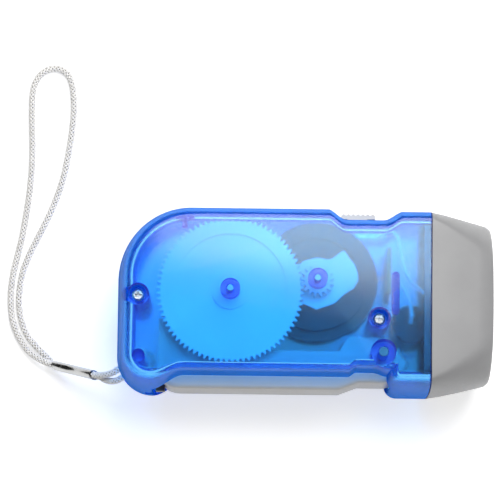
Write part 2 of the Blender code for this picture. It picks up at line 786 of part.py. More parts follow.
def battery_cradle(face):
    """A pedestal and a ring wall for the foot of the battery, open where the lamp end plugs in."""
    inner = BATTERY_RADIUS + FIT_GAP
    outer = inner + CRADLE_WALL
    pedestal = inner - CRADLE_WALL
    centre = (BATTERY_X, -BATTERY_Y)
    high = BATTERY_LOW_Z + CRADLE_HEIGHT
    seat = BATTERY_LOW_Z - FIT_GAP
    profile = [(pedestal, face), (outer, face), (outer, high), (inner, high), (inner, seat), (pedestal, seat)]
    cradle = turned("battery_cradle", centre, profile)
    plug_x = JOINT_X - HEAD_SPIGOT - FIT_GAP * 2
    plug_range = (plug_x, JOINT_X + BATTERY_RADIUS)
    cut(cradle, block("cradle_end", plug_range, (-CASE_HEIGHT, CASE_HEIGHT), (0.0, high * 2)))
    return cradle


def board_ribs(face):
    """Two low ribs with the main board standing between them."""
    high = CASE_WALL + BOARD_RIB_HEIGHT
    y_range = (BOARD_LOW_Y, BOARD_LOW_Y + BOARD_WIDTH)
    left = (BOARD_X - FIT_GAP - BOARD_RIB, BOARD_X - FIT_GAP)
    right_start = BOARD_X + BOARD_THICKNESS + FIT_GAP
    right = (right_start, right_start + BOARD_RIB)
    return (
        block("board_rib_left", left, y_range, (face, high)),
        block("board_rib_right", right, y_range, (face, high)),
    )


def section(half_height, half_thickness, depth):
    """A cross-section of the body as (y, z) pairs about the middle, anticlockwise seen from the lamp end."""
    quarter = [(half_height - edge_inset(share, depth), half_thickness * share) for share in LEVEL_SHARES]
    face = [((half_height - depth) * share, half_thickness) for share in FACE_SHARES]
    upper = quarter + face + [(-y, z) for y, z in reversed(quarter)]
    return upper + [(-y, -z) for y, z in upper[1:-1]]


def head_ring(x, half_height, half_thickness, depth, bulge=0.0):
    """One ring of the lamp end; the bulge pushes its middle forward."""
    return [
        (x + bulge * (1 - (y / half_height) ** 2), y - HEAD_DROP, PARTING_Z + z)
        for y, z in section(half_height, half_thickness, depth)
    ]


def head_size(share):
    """Half height, half thickness and edge depth at a share of the way from the joint to the front."""
    rear = (TOP_Y - HEAD_DROP, PARTING_Z, EDGE_ROUND)
    front = (HEAD_FRONT_HEIGHT / 2, HEAD_FRONT_THICKNESS / 2, HEAD_FRONT_ROUND)
    curve = share**HEAD_TAPER_POWER_SHARE
    return tuple(a + (b - a) * curve for a, b in zip(rear, front))


def head_place(share):
    rear_x = JOINT_X + FIT_GAP
    return rear_x + (FRONT_X - HEAD_BULGE - rear_x) * share


def head_bezel():
    """The grey lamp end: a tapered shell with a spigot that plugs into the case."""
    shares = (0.0, 0.25, 0.5, 0.75, 0.94)
    spigot_gap = CASE_WALL + FIT_GAP
    half_height, half_thickness, depth = head_size(0.0)
    spigot = (half_height - spigot_gap, half_thickness - spigot_gap, depth)
    bore = (spigot[0] - HEAD_WALL, spigot[1] - HEAD_WALL, depth)
    rings = [head_ring(JOINT_X - HEAD_SPIGOT, *spigot), head_ring(JOINT_X + FIT_GAP, *spigot)]
    for share in shares:
        rings.append(head_ring(head_place(share), *head_size(share), bulge=HEAD_BULGE * share**3))
    front = head_size(1.0)
    half_lip = (front[0] - HEAD_LIP / 2, front[1] - HEAD_LIP / 2, front[2])
    rings.append(head_ring(head_place(1.0), *half_lip, HEAD_BULGE))
    lip = (front[0] - HEAD_LIP, front[1] - HEAD_LIP, front[2])
    rings.append(head_ring(head_place(1.0), *lip, HEAD_BULGE))
    for share in reversed(shares):
        size = head_size(share)
        inner = (min(size[0] - HEAD_WALL, bore[0]), min(size[1] - HEAD_WALL, bore[1]), size[2])
        rings.append(head_ring(head_place(share), *inner, HEAD_BULGE * share**3))
    rings.append(head_ring(JOINT_X - HEAD_SPIGOT, *bore))
    return loft("head_bezel", rings, grey_plastic(), closed_loop=True)


def lens():
    """The clear front window, bowed like the rim round it."""
    front = head_size(1.0)
    gap = HEAD_WALL + FIT_GAP
    size = (front[0] - gap, front[1] - gap, front[2])
    bevelled = (size[0] - FIT_GAP, size[1] - FIT_GAP, size[2])
    front_x = head_place(1.0) - LENS_SETBACK
    rings = [
        head_ring(front_x - LENS_THICKNESS, *size, HEAD_BULGE),
        head_ring(front_x - FIT_GAP, *size, HEAD_BULGE),
        head_ring(front_x, *bevelled, HEAD_BULGE),
    ]
    return loft("lens", rings, clear_plastic())


def reflector_front_x():
    return head_place(1.0) - LENS_SETBACK - LENS_THICKNESS - FIT_GAP


def reflector_back_x():
    return reflector_front_x() - REFLECTOR_DEPTH


def led_places():
    """The lamps' centres as (y, z): one towards the switch and two below."""
    return [
        (
            LED_CIRCLE * math.cos(2 * math.pi * i / LED_COUNT) - HEAD_DROP,
            PARTING_Z + LED_CIRCLE * math.sin(2 * math.pi * i / LED_COUNT),
        )
        for i in range(LED_COUNT)
    ]


def reflector():
    """A bright dish with a flat back that the three lamps come through."""
    front = head_size(0.94)
    gap = HEAD_WALL + FIT_GAP
    wide = (front[0] - gap, front[1] - gap, front[2])
    narrow = (REFLECTOR_REAR_HEIGHT / 2, REFLECTOR_REAR_THICKNESS / 2, front[2] / 2)
    outer, inner = [], []
    for share in (0.0, 0.4, 0.75, 1.0):
        widening = math.sqrt(share)
        size = tuple(a + (b - a) * widening for a, b in zip(narrow, wide))
        x = reflector_back_x() + REFLECTOR_DEPTH * share
        outer.append(head_ring(x, *size))
        thin = (size[0] - REFLECTOR_WALL, size[1] - REFLECTOR_WALL, size[2])
        inner.append(head_ring(max(x, reflector_back_x() + REFLECTOR_WALL), *thin))
    dish = loft("reflector", outer + list(reversed(inner)), mirror_plastic())
    for number, (y, z) in enumerate(led_places()):
        hole = axial_cylinder(
            f"lamp_hole_{number}",
            (y, z),
            LED_RADIUS + FIT_GAP,
            reflector_back_x() - OVERRUN,
            reflector_back_x() + REFLECTOR_WALL + OVERRUN,
        )
        cut(dish, hole)
    return dish


def axial_cylinder(name, centre, radius, low_x, high_x, finish=None, steps=SMALL_STEPS):
    """A cylinder along X about a (y, z) centre."""
    rings = [[(x, y, z) for y, z in circle(centre, radius, steps)] for x in (low_x, high_x)]
    return loft(name, rings, finish)


def lamp_board_x():
    return reflector_back_x() - FIT_GAP - LED_FLANGE - FIT_GAP - LAMP_BOARD_THICKNESS


def led_board():
    x = lamp_board_x()
    return axial_cylinder(
        "led_board",
        (0.0, PARTING_Z),
        LAMP_BOARD_RADIUS,
        x,
        x + LAMP_BOARD_THICKNESS,
        board_green(),
        ROUND_STEPS,
    )


def led(number, centre):
    """A 5 mm lamp: a flange on the board, a straight body and a round nose."""
    base = lamp_board_x() + LAMP_BOARD_THICKNESS + FIT_GAP
    shoulder = base + LED_FLANGE
    profile = [(0.0, LED_FLANGE_RADIUS), (LED_FLANGE, LED_FLANGE_RADIUS), (LED_FLANGE, LED_RADIUS)]
    profile = [(base + x, r) for x, r in profile]
    profile.append((shoulder + LED_BODY, LED_RADIUS))
    nose_steps = 4
    for i in range(1, nose_steps):
        angle = math.pi / 2 * i / nose_steps
        profile.append((shoulder + LED_BODY + LED_RADIUS * math.sin(angle), LED_RADIUS * math.cos(angle)))
    rings = [[(x, y, z) for y, z in circle(centre, r, SMALL_STEPS)] for x, r in profile]
    return loft(f"led_{number}", rings, clear_plastic())


def involute_point(base_radius, radius):
    """The roll angle from a tooth's base to a radius on its flank."""
    ratio = math.sqrt(max((radius / base_radius) ** 2 - 1, 0.0))
    return ratio - math.atan(ratio)


def tooth_half_angle(radius, module, teeth, backlash):
    """Half the angle that a tooth fills at a radius."""
    pitch = module * teeth / 2
    base = pitch * math.cos(PRESSURE_ANGLE)
    at_pitch = math.pi / (2 * teeth) - backlash / (2 * pitch)
    rolled = involute_point(base, pitch) - involute_point(base, max(radius, base))
    return at_pitch + rolled


def tooth_points(angle, module, teeth, flank_shares, backlash=BACKLASH):
    """One tooth, from the root before it to the root after it."""
    pitch = module * teeth / 2
    root = pitch - TOOTH_ROOT_SHARE * module
    tip = pitch + TOOTH_TIP_SHARE * module
    radii = [root + (tip - root) * share for share in flank_shares]
    before = [(r, angle - tooth_half_angle(r, module, teeth, backlash)) for r in radii]
    after = [(r, angle + tooth_half_angle(r, module, teeth, backlash)) for r in reversed(radii)]
    return before + after


def placed(centre, polar):
    return [(centre[0] + r * math.cos(a), centre[1] + r * math.sin(a)) for r, a in polar]


def gear_outline(centre, module, teeth, tooth_at, flank_shares=(0.0, 0.55, 1.0)):
    polar = []
    for i in range(teeth):
        polar += tooth_points(tooth_at + 2 * math.pi * i / teeth, module, teeth, flank_shares)
    return placed(centre, polar)


def main_gear():
    """The big gear, its web thinned inside the rim, with the long pinion that the lever's horn drives."""
    gear = prism(
        "main_gear",
        gear_outline(GEAR_AXIS, GEAR_MODULE, GEAR_TEETH, CLUTCH_DIRECTION),
        GEAR_BOTTOM_Z,
        GEAR_TOP_Z,
        white_plastic(),
    )
    hub_top = GEAR_TOP_Z
    web = [
        (GEAR_HUB_RADIUS, hub_top - GEAR_WEB_STEP),
        (GEAR_WEB_RADIUS, hub_top - GEAR_WEB_STEP),
        (GEAR_WEB_RADIUS, hub_top + OVERRUN),
        (GEAR_HUB_RADIUS, hub_top + OVERRUN),
    ]
    cut(gear, turned("gear_web", GEAR_AXIS, web, steps=ROUND_STEPS * 2))
    gap_at = PIVOT_DIRECTION + math.pi / PINION_TEETH
    pinion = prism(
        "gear_pinion",
        gear_outline(GEAR_AXIS, HORN_MODULE, PINION_TEETH, gap_at, (0.0, 0.3, 0.55, 0.8, 1.0)),
        HORN_BOTTOM_Z - RUN_GAP,
        GEAR_BOTTOM_Z + SEAT_OVERLAP,
    )
    fuse(gear, pinion)
    bore = AXLE_RADIUS + AXLE_BORE_GAP
    cut(gear, cylinder("gear_bore", GEAR_AXIS, bore, 0.0, CASE_THICKNESS, steps=SMALL_STEPS))
    return gear


def axle(name, centre, radius, low, high):
    return cylinder(name, centre, radius, low, high, steel(), SMALL_STEPS)


def clutch_plate_outline():
    """The pawl plate's rim as shares of its radius against angle in degrees."""
    rim_shares = (
        (14, 1.0), (26, 1.0), (38, 0.96), (50, 1.0), (53, 0.84), (57, 0.66), (66, 0.58), (90, 0.58),
        (125, 0.60), (160, 0.62), (195, 0.62), (235, 0.66), (270, 0.70), (305, 0.68), (335, 0.72), (350, 0.90),
        (2, 1.0),
    )
    return [
        (
            FLYWHEEL_AXIS[0] + CLUTCH_PLATE_RADIUS * share * math.cos(math.radians(angle)),
            FLYWHEEL_AXIS[1] + CLUTCH_PLATE_RADIUS * share * math.sin(math.radians(angle)),
        )
        for angle, share in rim_shares
    ]


def clutch_pinion():
    """The small white pinion with the pawl plate that drives the flywheel one way."""
    plate_top = CLUTCH_BOTTOM_Z + CLUTCH_PLATE_THICKNESS
    plate = prism("clutch_pinion", clutch_plate_outline(), CLUTCH_BOTTOM_Z, plate_top, white_plastic())
    gap_at = CLUTCH_DIRECTION + math.pi + math.pi / CLUTCH_TEETH
    pinion = prism(
        "clutch_teeth",
        gear_outline(FLYWHEEL_AXIS, GEAR_MODULE, CLUTCH_TEETH, gap_at, (0.0, 0.4, 0.7, 1.0)),
        plate_top - SEAT_OVERLAP,
        CLUTCH_TOP_Z,
    )
    fuse(plate, pinion)
    bore = AXLE_RADIUS + AXLE_BORE_GAP
    cut(plate, cylinder("clutch_bore", FLYWHEEL_AXIS, bore, 0.0, CASE_THICKNESS, steps=SMALL_STEPS))
    return plate


def flywheel():
    """The black flywheel: a cup open to the back, with a ratchet ring round the pawl plate in front."""
    top = FLYWHEEL_TOP_Z
    roof = top - FLYWHEEL_ROOF
    inner = FLYWHEEL_RADIUS - FLYWHEEL_WALL
    bore = AXLE_RADIUS + AXLE_BORE_GAP
    hub = bore + FLYWHEEL_WALL
    hub_low = roof - FLYWHEEL_WALL
    profile = [
        (bore, hub_low),
        (hub, hub_low),
        (hub, roof),
        (inner, roof),
        (inner, FLYWHEEL_BOTTOM_Z),
        (FLYWHEEL_RADIUS, FLYWHEEL_BOTTOM_Z),
        (FLYWHEEL_RADIUS, top),
        (bore, top),
    ]
    wheel = turned("flywheel", FLYWHEEL_AXIS, profile, black_plastic(), ROUND_STEPS * 2)
    outer = RATCHET_RADIUS + RATCHET_TOOTH + RATCHET_RIM
    ring = [
        (RATCHET_RADIUS, top - SEAT_OVERLAP),
        (outer, top - SEAT_OVERLAP),
        (outer, top + RATCHET_HEIGHT),
        (RATCHET_RADIUS, top + RATCHET_HEIGHT),
    ]
    rim = turned("ratchet_rim", FLYWHEEL_AXIS, ring, steps=ROUND_STEPS * 2)
    fuse(wheel, rim)
    polar = []
    for i in range(RATCHET_TEETH):
        angle = 2 * math.pi * i / RATCHET_TEETH
        polar += [(RATCHET_RADIUS, angle), (RATCHET_RADIUS + RATCHET_TOOTH, angle)]
    cut(wheel, prism("ratchet_teeth", placed(FLYWHEEL_AXIS, polar), top, top + RATCHET_HEIGHT + OVERRUN))
    return wheel


def magnet_outer():
    return FLYWHEEL_RADIUS - FLYWHEEL_WALL - FIT_GAP


def ring_magnet():
    outer = magnet_outer()
    inner = outer - MAGNET_THICKNESS
    low = FLYWHEEL_BOTTOM_Z + FIT_GAP
    high = FLYWHEEL_TOP_Z - FLYWHEEL_ROOF - FIT_GAP
    profile = [(inner, low), (outer, low), (outer, high), (inner, high)]
    return turned("ring_magnet", FLYWHEEL_AXIS, profile, magnet_black(), ROUND_STEPS * 2)


def stator_bottom():
    return FLYWHEEL_BOTTOM_Z + RUN_GAP


def stator_top():
    return FLYWHEEL_TOP_Z - FLYWHEEL_ROOF - FLYWHEEL_WALL - RUN_GAP


def stator_core():
    """The iron core: a round plate on the post with a hollow stem, and claws bent up round the coil."""
    low = stator_bottom()
    bore = AXLE_RADIUS + AXLE_BORE_GAP
    stem = BOBBIN_CORE_RADIUS - FLYWHEEL_WALL
    profile = [
        (bore, low),
        (STATOR_RADIUS, low),
        (STATOR_RADIUS, low + STATOR_PLATE),
        (stem, low + STATOR_PLATE),
        (stem, stator_top()),
        (bore, stator_top()),
    ]
    core = turned("stator_core", FLYWHEEL_AXIS, profile, steel())
    inner = STATOR_RADIUS - STATOR_PLATE / 2
    step = math.pi / STATOR_CLAWS
    for i in range(STATOR_CLAWS):
        start = 2 * step * i
        polar = [(inner, start), (STATOR_RADIUS, start), (STATOR_RADIUS, start + step), (inner, start + step)]
        claw = prism(f"claw_{i}", placed(FLYWHEEL_AXIS, polar), low + STATOR_PLATE / 2, stator_top())
        fuse(core, claw)
    return core


def bobbin_range():
    return stator_bottom() + STATOR_PLATE + FIT_GAP, stator_top() - FIT_GAP


def coil_bobbin():
    low, high = bobbin_range()
    inner = BOBBIN_CORE_RADIUS - FLYWHEEL_WALL + FIT_GAP
    core = BOBBIN_CORE_RADIUS
    profile = [
        (inner, low),
        (BOBBIN_RADIUS, low),
        (BOBBIN_RADIUS, low + BOBBIN_FLANGE),
        (core, low + BOBBIN_FLANGE),
        (core, high - BOBBIN_FLANGE),
        (BOBBIN_RADIUS, high - BOBBIN_FLANGE),
        (BOBBIN_RADIUS, high),
        (inner, high),
    ]
    return turned("coil_bobbin", FLYWHEEL_AXIS, profile, black_plastic())


def stator_coil():
    low, high = bobbin_range()
    inner = BOBBIN_CORE_RADIUS + FIT_GAP
    outer = BOBBIN_RADIUS - FIT_GAP
    bottom = low + BOBBIN_FLANGE + FIT_GAP
    top = high - BOBBIN_FLANGE - FIT_GAP
    profile = [(inner, bottom), (outer, bottom), (outer, top), (inner, top)]
    return turned("stator_coil", FLYWHEEL_AXIS, profile, copper())


def lever_low_path(rise):
    """The lever's underside from its tip to its knuckle, drawn in by a rise."""
    bottom = LEVER_BOTTOM_Y + rise
    middle = (LEVER_TIP_X + rise + LEVER_TIP_REACH, bottom + LEVER_TIP_HEIGHT)
    points = [
        (middle[0] + LEVER_TIP_REACH * math.cos(angle), middle[1] + LEVER_TIP_HEIGHT * math.sin(angle))
        for angle in (math.pi * (1 + i / RAMP_STEPS / 2) for i in range(RAMP_STEPS + 1))
    ]
    knuckle = KNUCKLE_RADIUS - rise
    points.append((RECESS_RIGHT_END - ARCH_RAMP, bottom))
    points.append((RECESS_RIGHT_END + LEVER_NECK, PIVOT[1] - knuckle))
    points += arc(PIVOT, knuckle, KNUCKLE_FROM, KNUCKLE_TO, RAMP_STEPS)
    return points


def lever_outline(rise):
    """The lever's side walls: the grip, the knuckle and the part that stays inside the case."""
    left = -LEVER_INNER_LEFT
    points = [(left, -LEVER_INNER_TOP), (left, RECESS_Y - LEVER_WALL)]
    points += lever_low_path(rise)
    over_pivot = PIVOT[1] + LEVER_BARREL_RADIUS * 2
    points += [
        (PIVOT[0] + LEVER_WALL, over_pivot - LEVER_PIN_RADIUS / 2),
        (PIVOT[0] - LEVER_BARREL_RADIUS, over_pivot),
        (RECESS_RIGHT_END + LEVER_WALL / 2, over_pivot),
        (RECESS_RIGHT_END - LEVER_WALL, -LEVER_DIP_TOP),
        (-RECESS_RIGHT_END, -LEVER_DIP_TOP),
        (left * 3 / 4, -LEVER_INNER_TOP - LEVER_WALL),
    ]
    return points


def lever_hollow():
    """What is cut out between the side walls: all that lies above the floor."""
    above = LEVER_FLOOR
    path = lever_low_path(above)
    outline = [(-LEVER_INNER_LEFT - OVERRUN, 0.0), (-LEVER_INNER_LEFT - OVERRUN, path[0][1])]
    outline += path
    outline.append((path[-1][0], 0.0))
    return prism("lever_hollow", outline, LEVER_LOW_Z + LEVER_WALL, LEVER_HIGH_Z - LEVER_WALL)


def horn_outline():
    """The curved horn with its toothed rack, about the lever's pivot."""
    inner = HORN_RADIUS - HORN_WIDTH
    root = HORN_RADIUS - TOOTH_ROOT_SHARE * HORN_MODULE
    foot_y = LEVER_FLOOR_Y - LEVER_FLOOR / 2
    foot = math.pi + math.asin((PIVOT[1] - foot_y) / HORN_RADIUS)
    towards_gear = PIVOT_DIRECTION + math.pi
    pitch_angle = 2 * math.pi / HORN_TEETH_IN_CIRCLE
    first = math.ceil((HORN_TEETH_FROM - towards_gear) / pitch_angle)
    last = math.floor((HORN_TEETH_TO - towards_gear) / pitch_angle)
    points = arc(PIVOT, inner, foot, HORN_TEETH_FROM - pitch_angle, CORNER_STEPS)
    for i in range(first, last + 1):
        angle = towards_gear + pitch_angle * i
        tooth = tooth_points(angle, HORN_MODULE, HORN_TEETH_IN_CIRCLE, (0.0, 0.4, 0.7, 1.0))
        points += placed(PIVOT, tooth)
    points += arc(PIVOT, root, HORN_TEETH_TO + pitch_angle, foot, CORNER_STEPS)
    return points


def drive_lever():
    """The grey squeeze lever: a channel with side walls, a barrel on the pin and the toothed horn."""
    rings = []
    for z_share, rise_share in LEVER_EDGE_SHARES:
        rings.append((LEVER_LOW_Z + LEVER_EDGE_ROUND * z_share, LEVER_EDGE_ROUND * rise_share))
    for z_share, rise_share in reversed(LEVER_EDGE_SHARES):
        rings.append((LEVER_HIGH_Z - LEVER_EDGE_ROUND * z_share, LEVER_EDGE_ROUND * rise_share))
    levels = [[(x, y, z) for x, y in lever_outline(rise)] for z, rise in rings]
    lever = loft("drive_lever", levels, grey_plastic())
    cut(lever, lever_hollow())
    inside = LEVER_WALL / 2
    barrel = cylinder(
        "lever_barrel", PIVOT, LEVER_BARREL_RADIUS, LEVER_LOW_Z + inside, LEVER_HIGH_Z - inside
    )
    horn = prism("lever_horn", horn_outline(), HORN_BOTTOM_Z, HORN_BOTTOM_Z + HORN_THICKNESS)
    fuse(lever, barrel, horn)
    bore = LEVER_PIN_RADIUS + LEVER_PIN_GAP
    cut(lever, cylinder("lever_bore", PIVOT, bore, 0.0, CASE_THICKNESS, steps=SMALL_STEPS))
    left = bolt_left() - OVERRUN
    bolt_end = bolt_left() + BOLT_LENGTH + RUN_GAP
    half = BOLT_WIDTH / 2 + RUN_GAP
    cut(
        lever,
        block(
            "bolt_window",
            (left, bolt_end),
            (LEVER_FLOOR_Y, LEVER_FLOOR_Y + BOLT_HEIGHT + RUN_GAP * 2),
            (PARTING_Z - half, PARTING_Z + half),
        ),
        block(
            "tab_notch",
            (left, bolt_left() + BOLT_TAB_LENGTH + BOLT_TRAVEL / 4 + RUN_GAP),
            (LOW_Y - OVERRUN, LEVER_FLOOR_Y + BOLT_HEIGHT),
            (PARTING_Z - BOLT_TAB_WIDTH / 2 - RUN_GAP, PARTING_Z + BOLT_TAB_WIDTH / 2 + RUN_GAP),
        ),
    )
    return lever


def bolt_left():
    return LEVER_TIP_X - LEVER_WALL - RUN_GAP * 2


def lever_latch():
    """The sliding lock bolt in the lever's tip, with a tab for the finger."""
    low = LEVER_FLOOR_Y + FIT_GAP
    left = bolt_left()
    bolt = block(
        "lever_latch",
        (left, left + BOLT_LENGTH),
        (low, low + BOLT_HEIGHT),
        (PARTING_Z - BOLT_WIDTH / 2, PARTING_Z + BOLT_WIDTH / 2),
        black_plastic(),
    )
    tab = block(
        "latch_tab",
        (left + BOLT_TRAVEL / 4, left + BOLT_TRAVEL / 4 + BOLT_TAB_LENGTH),
        (low - BOLT_TAB_DROP, low + BOLT_HEIGHT / 2),
        (PARTING_Z - BOLT_TAB_WIDTH / 2, PARTING_Z + BOLT_TAB_WIDTH / 2),
    )
    fuse(bolt, tab)
    return bolt


def curve_tube(name, points, radius, finish, resolution=2):
    """A round tube through points, with its ends closed."""
    curve = bpy.data.curves.new(name, "CURVE")
    curve.dimensions = "3D"
    curve.bevel_depth = radius
    curve.bevel_resolution = resolution
    curve.use_fill_caps = True
    spline = curve.splines.new("POLY")
    spline.points.add(len(points) - 1)
    for made, point in zip(spline.points, points):
        made.co = (*point, 1.0)
    obj = bpy.data.objects.new(name, curve)
    bpy.context.scene.collection.objects.link(obj)
    curve.materials.append(finish)
    return obj


def smooth_route(route, spacing):
    """Points at an even spacing along a smooth curve through the route's points."""
    knots = [Vector(point) for point in route]
    ends = [knots[0] * 2 - knots[1]] + knots + [knots[-1] * 2 - knots[-2]]
    fine = []
    steps = 12
    for i in range(1, len(ends) - 2):
        a, b, c, d = ends[i - 1 : i + 3]
        for k in range(steps):
            t = k / steps
            square = (a * 2 - b * 5 + c * 4 - d) * t**2
            cube = (b * 3 - a - c * 3 + d) * t**3
            fine.append((b * 2 + (c - a) * t + square + cube) / 2)
    fine.append(knots[-1])
    lengths = [0.0]
    for one, other in zip(fine, fine[1:]):
        lengths.append(lengths[-1] + (other - one).length)
    count = max(round(lengths[-1] / spacing), 2)
    points = []
    at = 0
    for i in range(count + 1):
        goal = lengths[-1] * i / count
        while at < len(fine) - 2 and lengths[at + 1] < goal:
            at += 1
        span = lengths[at + 1] - lengths[at]
        points.append(fine[at].lerp(fine[at + 1], (goal - lengths[at]) / span))
    return points


def least_gap(points, radius, apart):
    """The least gap between two stretches of a tube that are a number of points apart."""
    gaps = [
        (one - other).length - 2 * radius
        for i, one in enumerate(points)
        for other in points[i + apart :]
    ]
    return min(gaps)


def lever_spring():
    """A torsion spring round the lever's barrel, one leg over the grip's floor and one up in the case."""
    radius = LEVER_BARREL_RADIUS + FIT_GAP * 2 + SPRING_WIRE_RADIUS
    low = PARTING_Z - SPRING_PITCH * SPRING_TURNS / 2
    count = round(SPRING_TURNS * SPRING_POINTS_PER_TURN)
    turn = 2 * math.pi / SPRING_POINTS_PER_TURN
    points = []
    for i in range(count + 1):
        angle = SPRING_LEG_DIRECTION + turn * i
        height = low + SPRING_PITCH * i / SPRING_POINTS_PER_TURN
        reach = (radius * math.cos(angle), radius * math.sin(angle))
        points.append(Vector((PIVOT[0] + reach[0], PIVOT[1] + reach[1], height)))
    gap = least_gap(points, SPRING_WIRE_RADIUS, SPRING_POINTS_PER_TURN // 2)
    print(f"Least gap between the lever spring's turns: {gap:.6f} m")
    start, end = SPRING_LEG_DIRECTION, SPRING_LEG_DIRECTION + turn * count
    first_leg = Vector((math.sin(start), -math.cos(start), 0.0)) * SPRING_LEG
    last_leg = Vector((-math.sin(end), math.cos(end), 0.0)) * SPRING_SHORT_LEG
    points.insert(0, points[0] + first_leg)
    points.append(points[-1] + last_leg)
    return curve_tube("lever_spring", points, SPRING_WIRE_RADIUS, steel(), 1)


def screw(name, centre):
    """A cross-head screw: a domed head in the recess and a plain shank."""
    low = SCREW_HEAD_Z + FIT_GAP
    edge = low + SCREW_HEAD_HEIGHT * SCREW_EDGE_SHARE
    dome = low + SCREW_HEAD_HEIGHT
    tip = SCREW_HEAD_Z - SCREW_LENGTH
    rows = [
        (SCREW_SHANK_RADIUS / 2, tip),
        (SCREW_SHANK_RADIUS, tip + SCREW_SHANK_RADIUS),
        (SCREW_SHANK_RADIUS, low),
        (SCREW_HEAD_RADIUS, low),
        (SCREW_HEAD_RADIUS, edge),
        (SCREW_HEAD_RADIUS * SCREW_DOME_SHARE, dome),
    ]
    rings = [[(x, y, z) for x, y in circle(centre, r, SMALL_STEPS)] for r, z in rows]
    made = loft(name, rings, steel())
    for number, turn in enumerate((0.0, math.pi / 2)):
        long, wide = SCREW_CROSS_LENGTH / 2, SCREW_CROSS_WIDTH / 2
        corners = ((-long, -wide), (long, -wide), (long, wide), (-long, wide))
        outline = [
            (
                centre[0] + x * math.cos(turn) - y * math.sin(turn),
                centre[1] + x * math.sin(turn) + y * math.cos(turn),
            )
            for x, y in corners
        ]
        cut(made, prism(f"{name}_cross_{number}", outline, dome - SCREW_CROSS_DEPTH, dome + OVERRUN))
    return made


def switch_knob():
    """The ribbed sliding knob in the top recess, with its stem through the case."""
    foot_low = SWITCH_FLOOR_Y + FIT_GAP
    grip_low = foot_low + KNOB_LIFT
    grip_high = grip_low + KNOB_HEIGHT
    side = KNOB_WIDTH / 2
    across = (PARTING_Z - side, PARTING_Z + side)
    knob = block(
        "switch_knob", (KNOB_LEFT, KNOB_LEFT + KNOB_LENGTH), (grip_low, grip_high), across, white_plastic()
    )
    foot_left = knob_foot_left()
    foot_range = (foot_left, foot_left + KNOB_FOOT_LENGTH)
    foot = block("knob_foot", foot_range, (foot_low, grip_high - KNOB_HEIGHT / 2), across)
    half = KNOB_STEM / 2
    stem = block(
        "knob_stem",
        (knob_stem_x() - half, knob_stem_x() + half),
        (switch_body_top() + FIT_GAP, grip_low + KNOB_HEIGHT / 2),
        (PARTING_Z - half, PARTING_Z + half),
    )
    fuse(knob, foot, stem)
    step = KNOB_LENGTH / KNOB_RIBS
    for i in range(KNOB_RIBS):
        low = KNOB_LEFT + step * (i + KNOB_RIB_SHARE)
        rib = block(
            f"knob_rib_{i}",
            (low, low + step / 2),
            (grip_high - KNOB_HEIGHT / 2, grip_high + KNOB_RIB_HEIGHT),
            (across[0] + KNOB_RIB_HEIGHT, across[1] - KNOB_RIB_HEIGHT),
        )
        fuse(knob, rib)
    return knob


def switch_body_top():
    return SWITCH_FLOOR_Y - CASE_WALL - FIT_GAP


def slide_switch():
    """The slide switch's can under the recess."""
    left = knob_stem_x() - KNOB_STEM / 2 - RUN_GAP
    top = switch_body_top()
    return block(
        "slide_switch",
        (left, left + SWITCH_BODY_LENGTH),
        (top - SWITCH_BODY_HEIGHT, top),
        (PARTING_Z - SWITCH_BODY_WIDTH / 2, PARTING_Z + SWITCH_BODY_WIDTH / 2),
        steel(),
    )


def main_board():
    low = CASE_WALL + FIT_GAP
    return block(
        "main_board",
        (BOARD_X, BOARD_X + BOARD_THICKNESS),
        (BOARD_LOW_Y, BOARD_LOW_Y + BOARD_WIDTH),
        (low, low + BOARD_HEIGHT),
        board_green(),
    )


def battery_pack():
    """A stack of button cells in a dark sleeve, with the folds between the cells."""
    low = BATTERY_LOW_Z
    cell = BATTERY_LENGTH / BATTERY_CELLS
    waist = BATTERY_RADIUS - FIT_GAP
    rows = []
    for i in range(BATTERY_CELLS):
        bottom = low + cell * i
        rows.append((waist, bottom))
        rows.append((BATTERY_RADIUS, bottom + FIT_GAP))
        rows.append((BATTERY_RADIUS, bottom + cell - FIT_GAP))
    rows.append((waist, low + BATTERY_LENGTH))
    centre = (BATTERY_X, -BATTERY_Y)
    rings = [[(x, y, z) for x, y in circle(centre, r)] for r, z in rows]
    return loft("battery_pack", rings, sleeve())


def strap_ferrule():
    """The crimped metal sleeve that joins the strap's two ends."""
    low, high = Vector(FERRULE_LOW), Vector(FERRULE_HIGH)
    along = (high - low).normalized()
    across = along.cross(Vector((0.0, 0.0, 1.0))).normalized()
    up = across.cross(along)
    rings = []
    for share, swell in FERRULE_SWELL_SHARES:
        middle = low.lerp(high, share)
        ring = []
        for i in range(SMALL_STEPS):
            angle = 2 * math.pi * i / SMALL_STEPS
            side = across * FERRULE_HALF_WIDTH * math.cos(angle)
            rise = up * FERRULE_HALF_HEIGHT * swell * math.sin(angle)
            ring.append(tuple(middle + side + rise))
        rings.append(ring)
    return loft("strap_ferrule", rings, steel())


def set_origin(name, place):
    """Moves a piece's origin onto its joint's axis and leaves the piece where it is."""
    obj = bpy.data.objects[name]
    obj.data.transform(Matrix.Translation(-Vector(place)))
    obj.location = place


def put_origins_on_joints():
    set_origin("drive_lever", (*PIVOT, PARTING_Z))
    set_origin("lever_latch", (bolt_left(), LEVER_FLOOR_Y, PARTING_Z))
    set_origin("main_gear", (*GEAR_AXIS, GEAR_BOTTOM_Z))
    set_origin("clutch_pinion", (*FLYWHEEL_AXIS, CLUTCH_BOTTOM_Z))
    set_origin("flywheel", (*FLYWHEEL_AXIS, FLYWHEEL_BOTTOM_Z))
    set_origin("ring_magnet", (*FLYWHEEL_AXIS, FLYWHEEL_BOTTOM_Z))
    set_origin("switch_knob", (knob_stem_x(), SWITCH_FLOOR_Y, PARTING_Z))


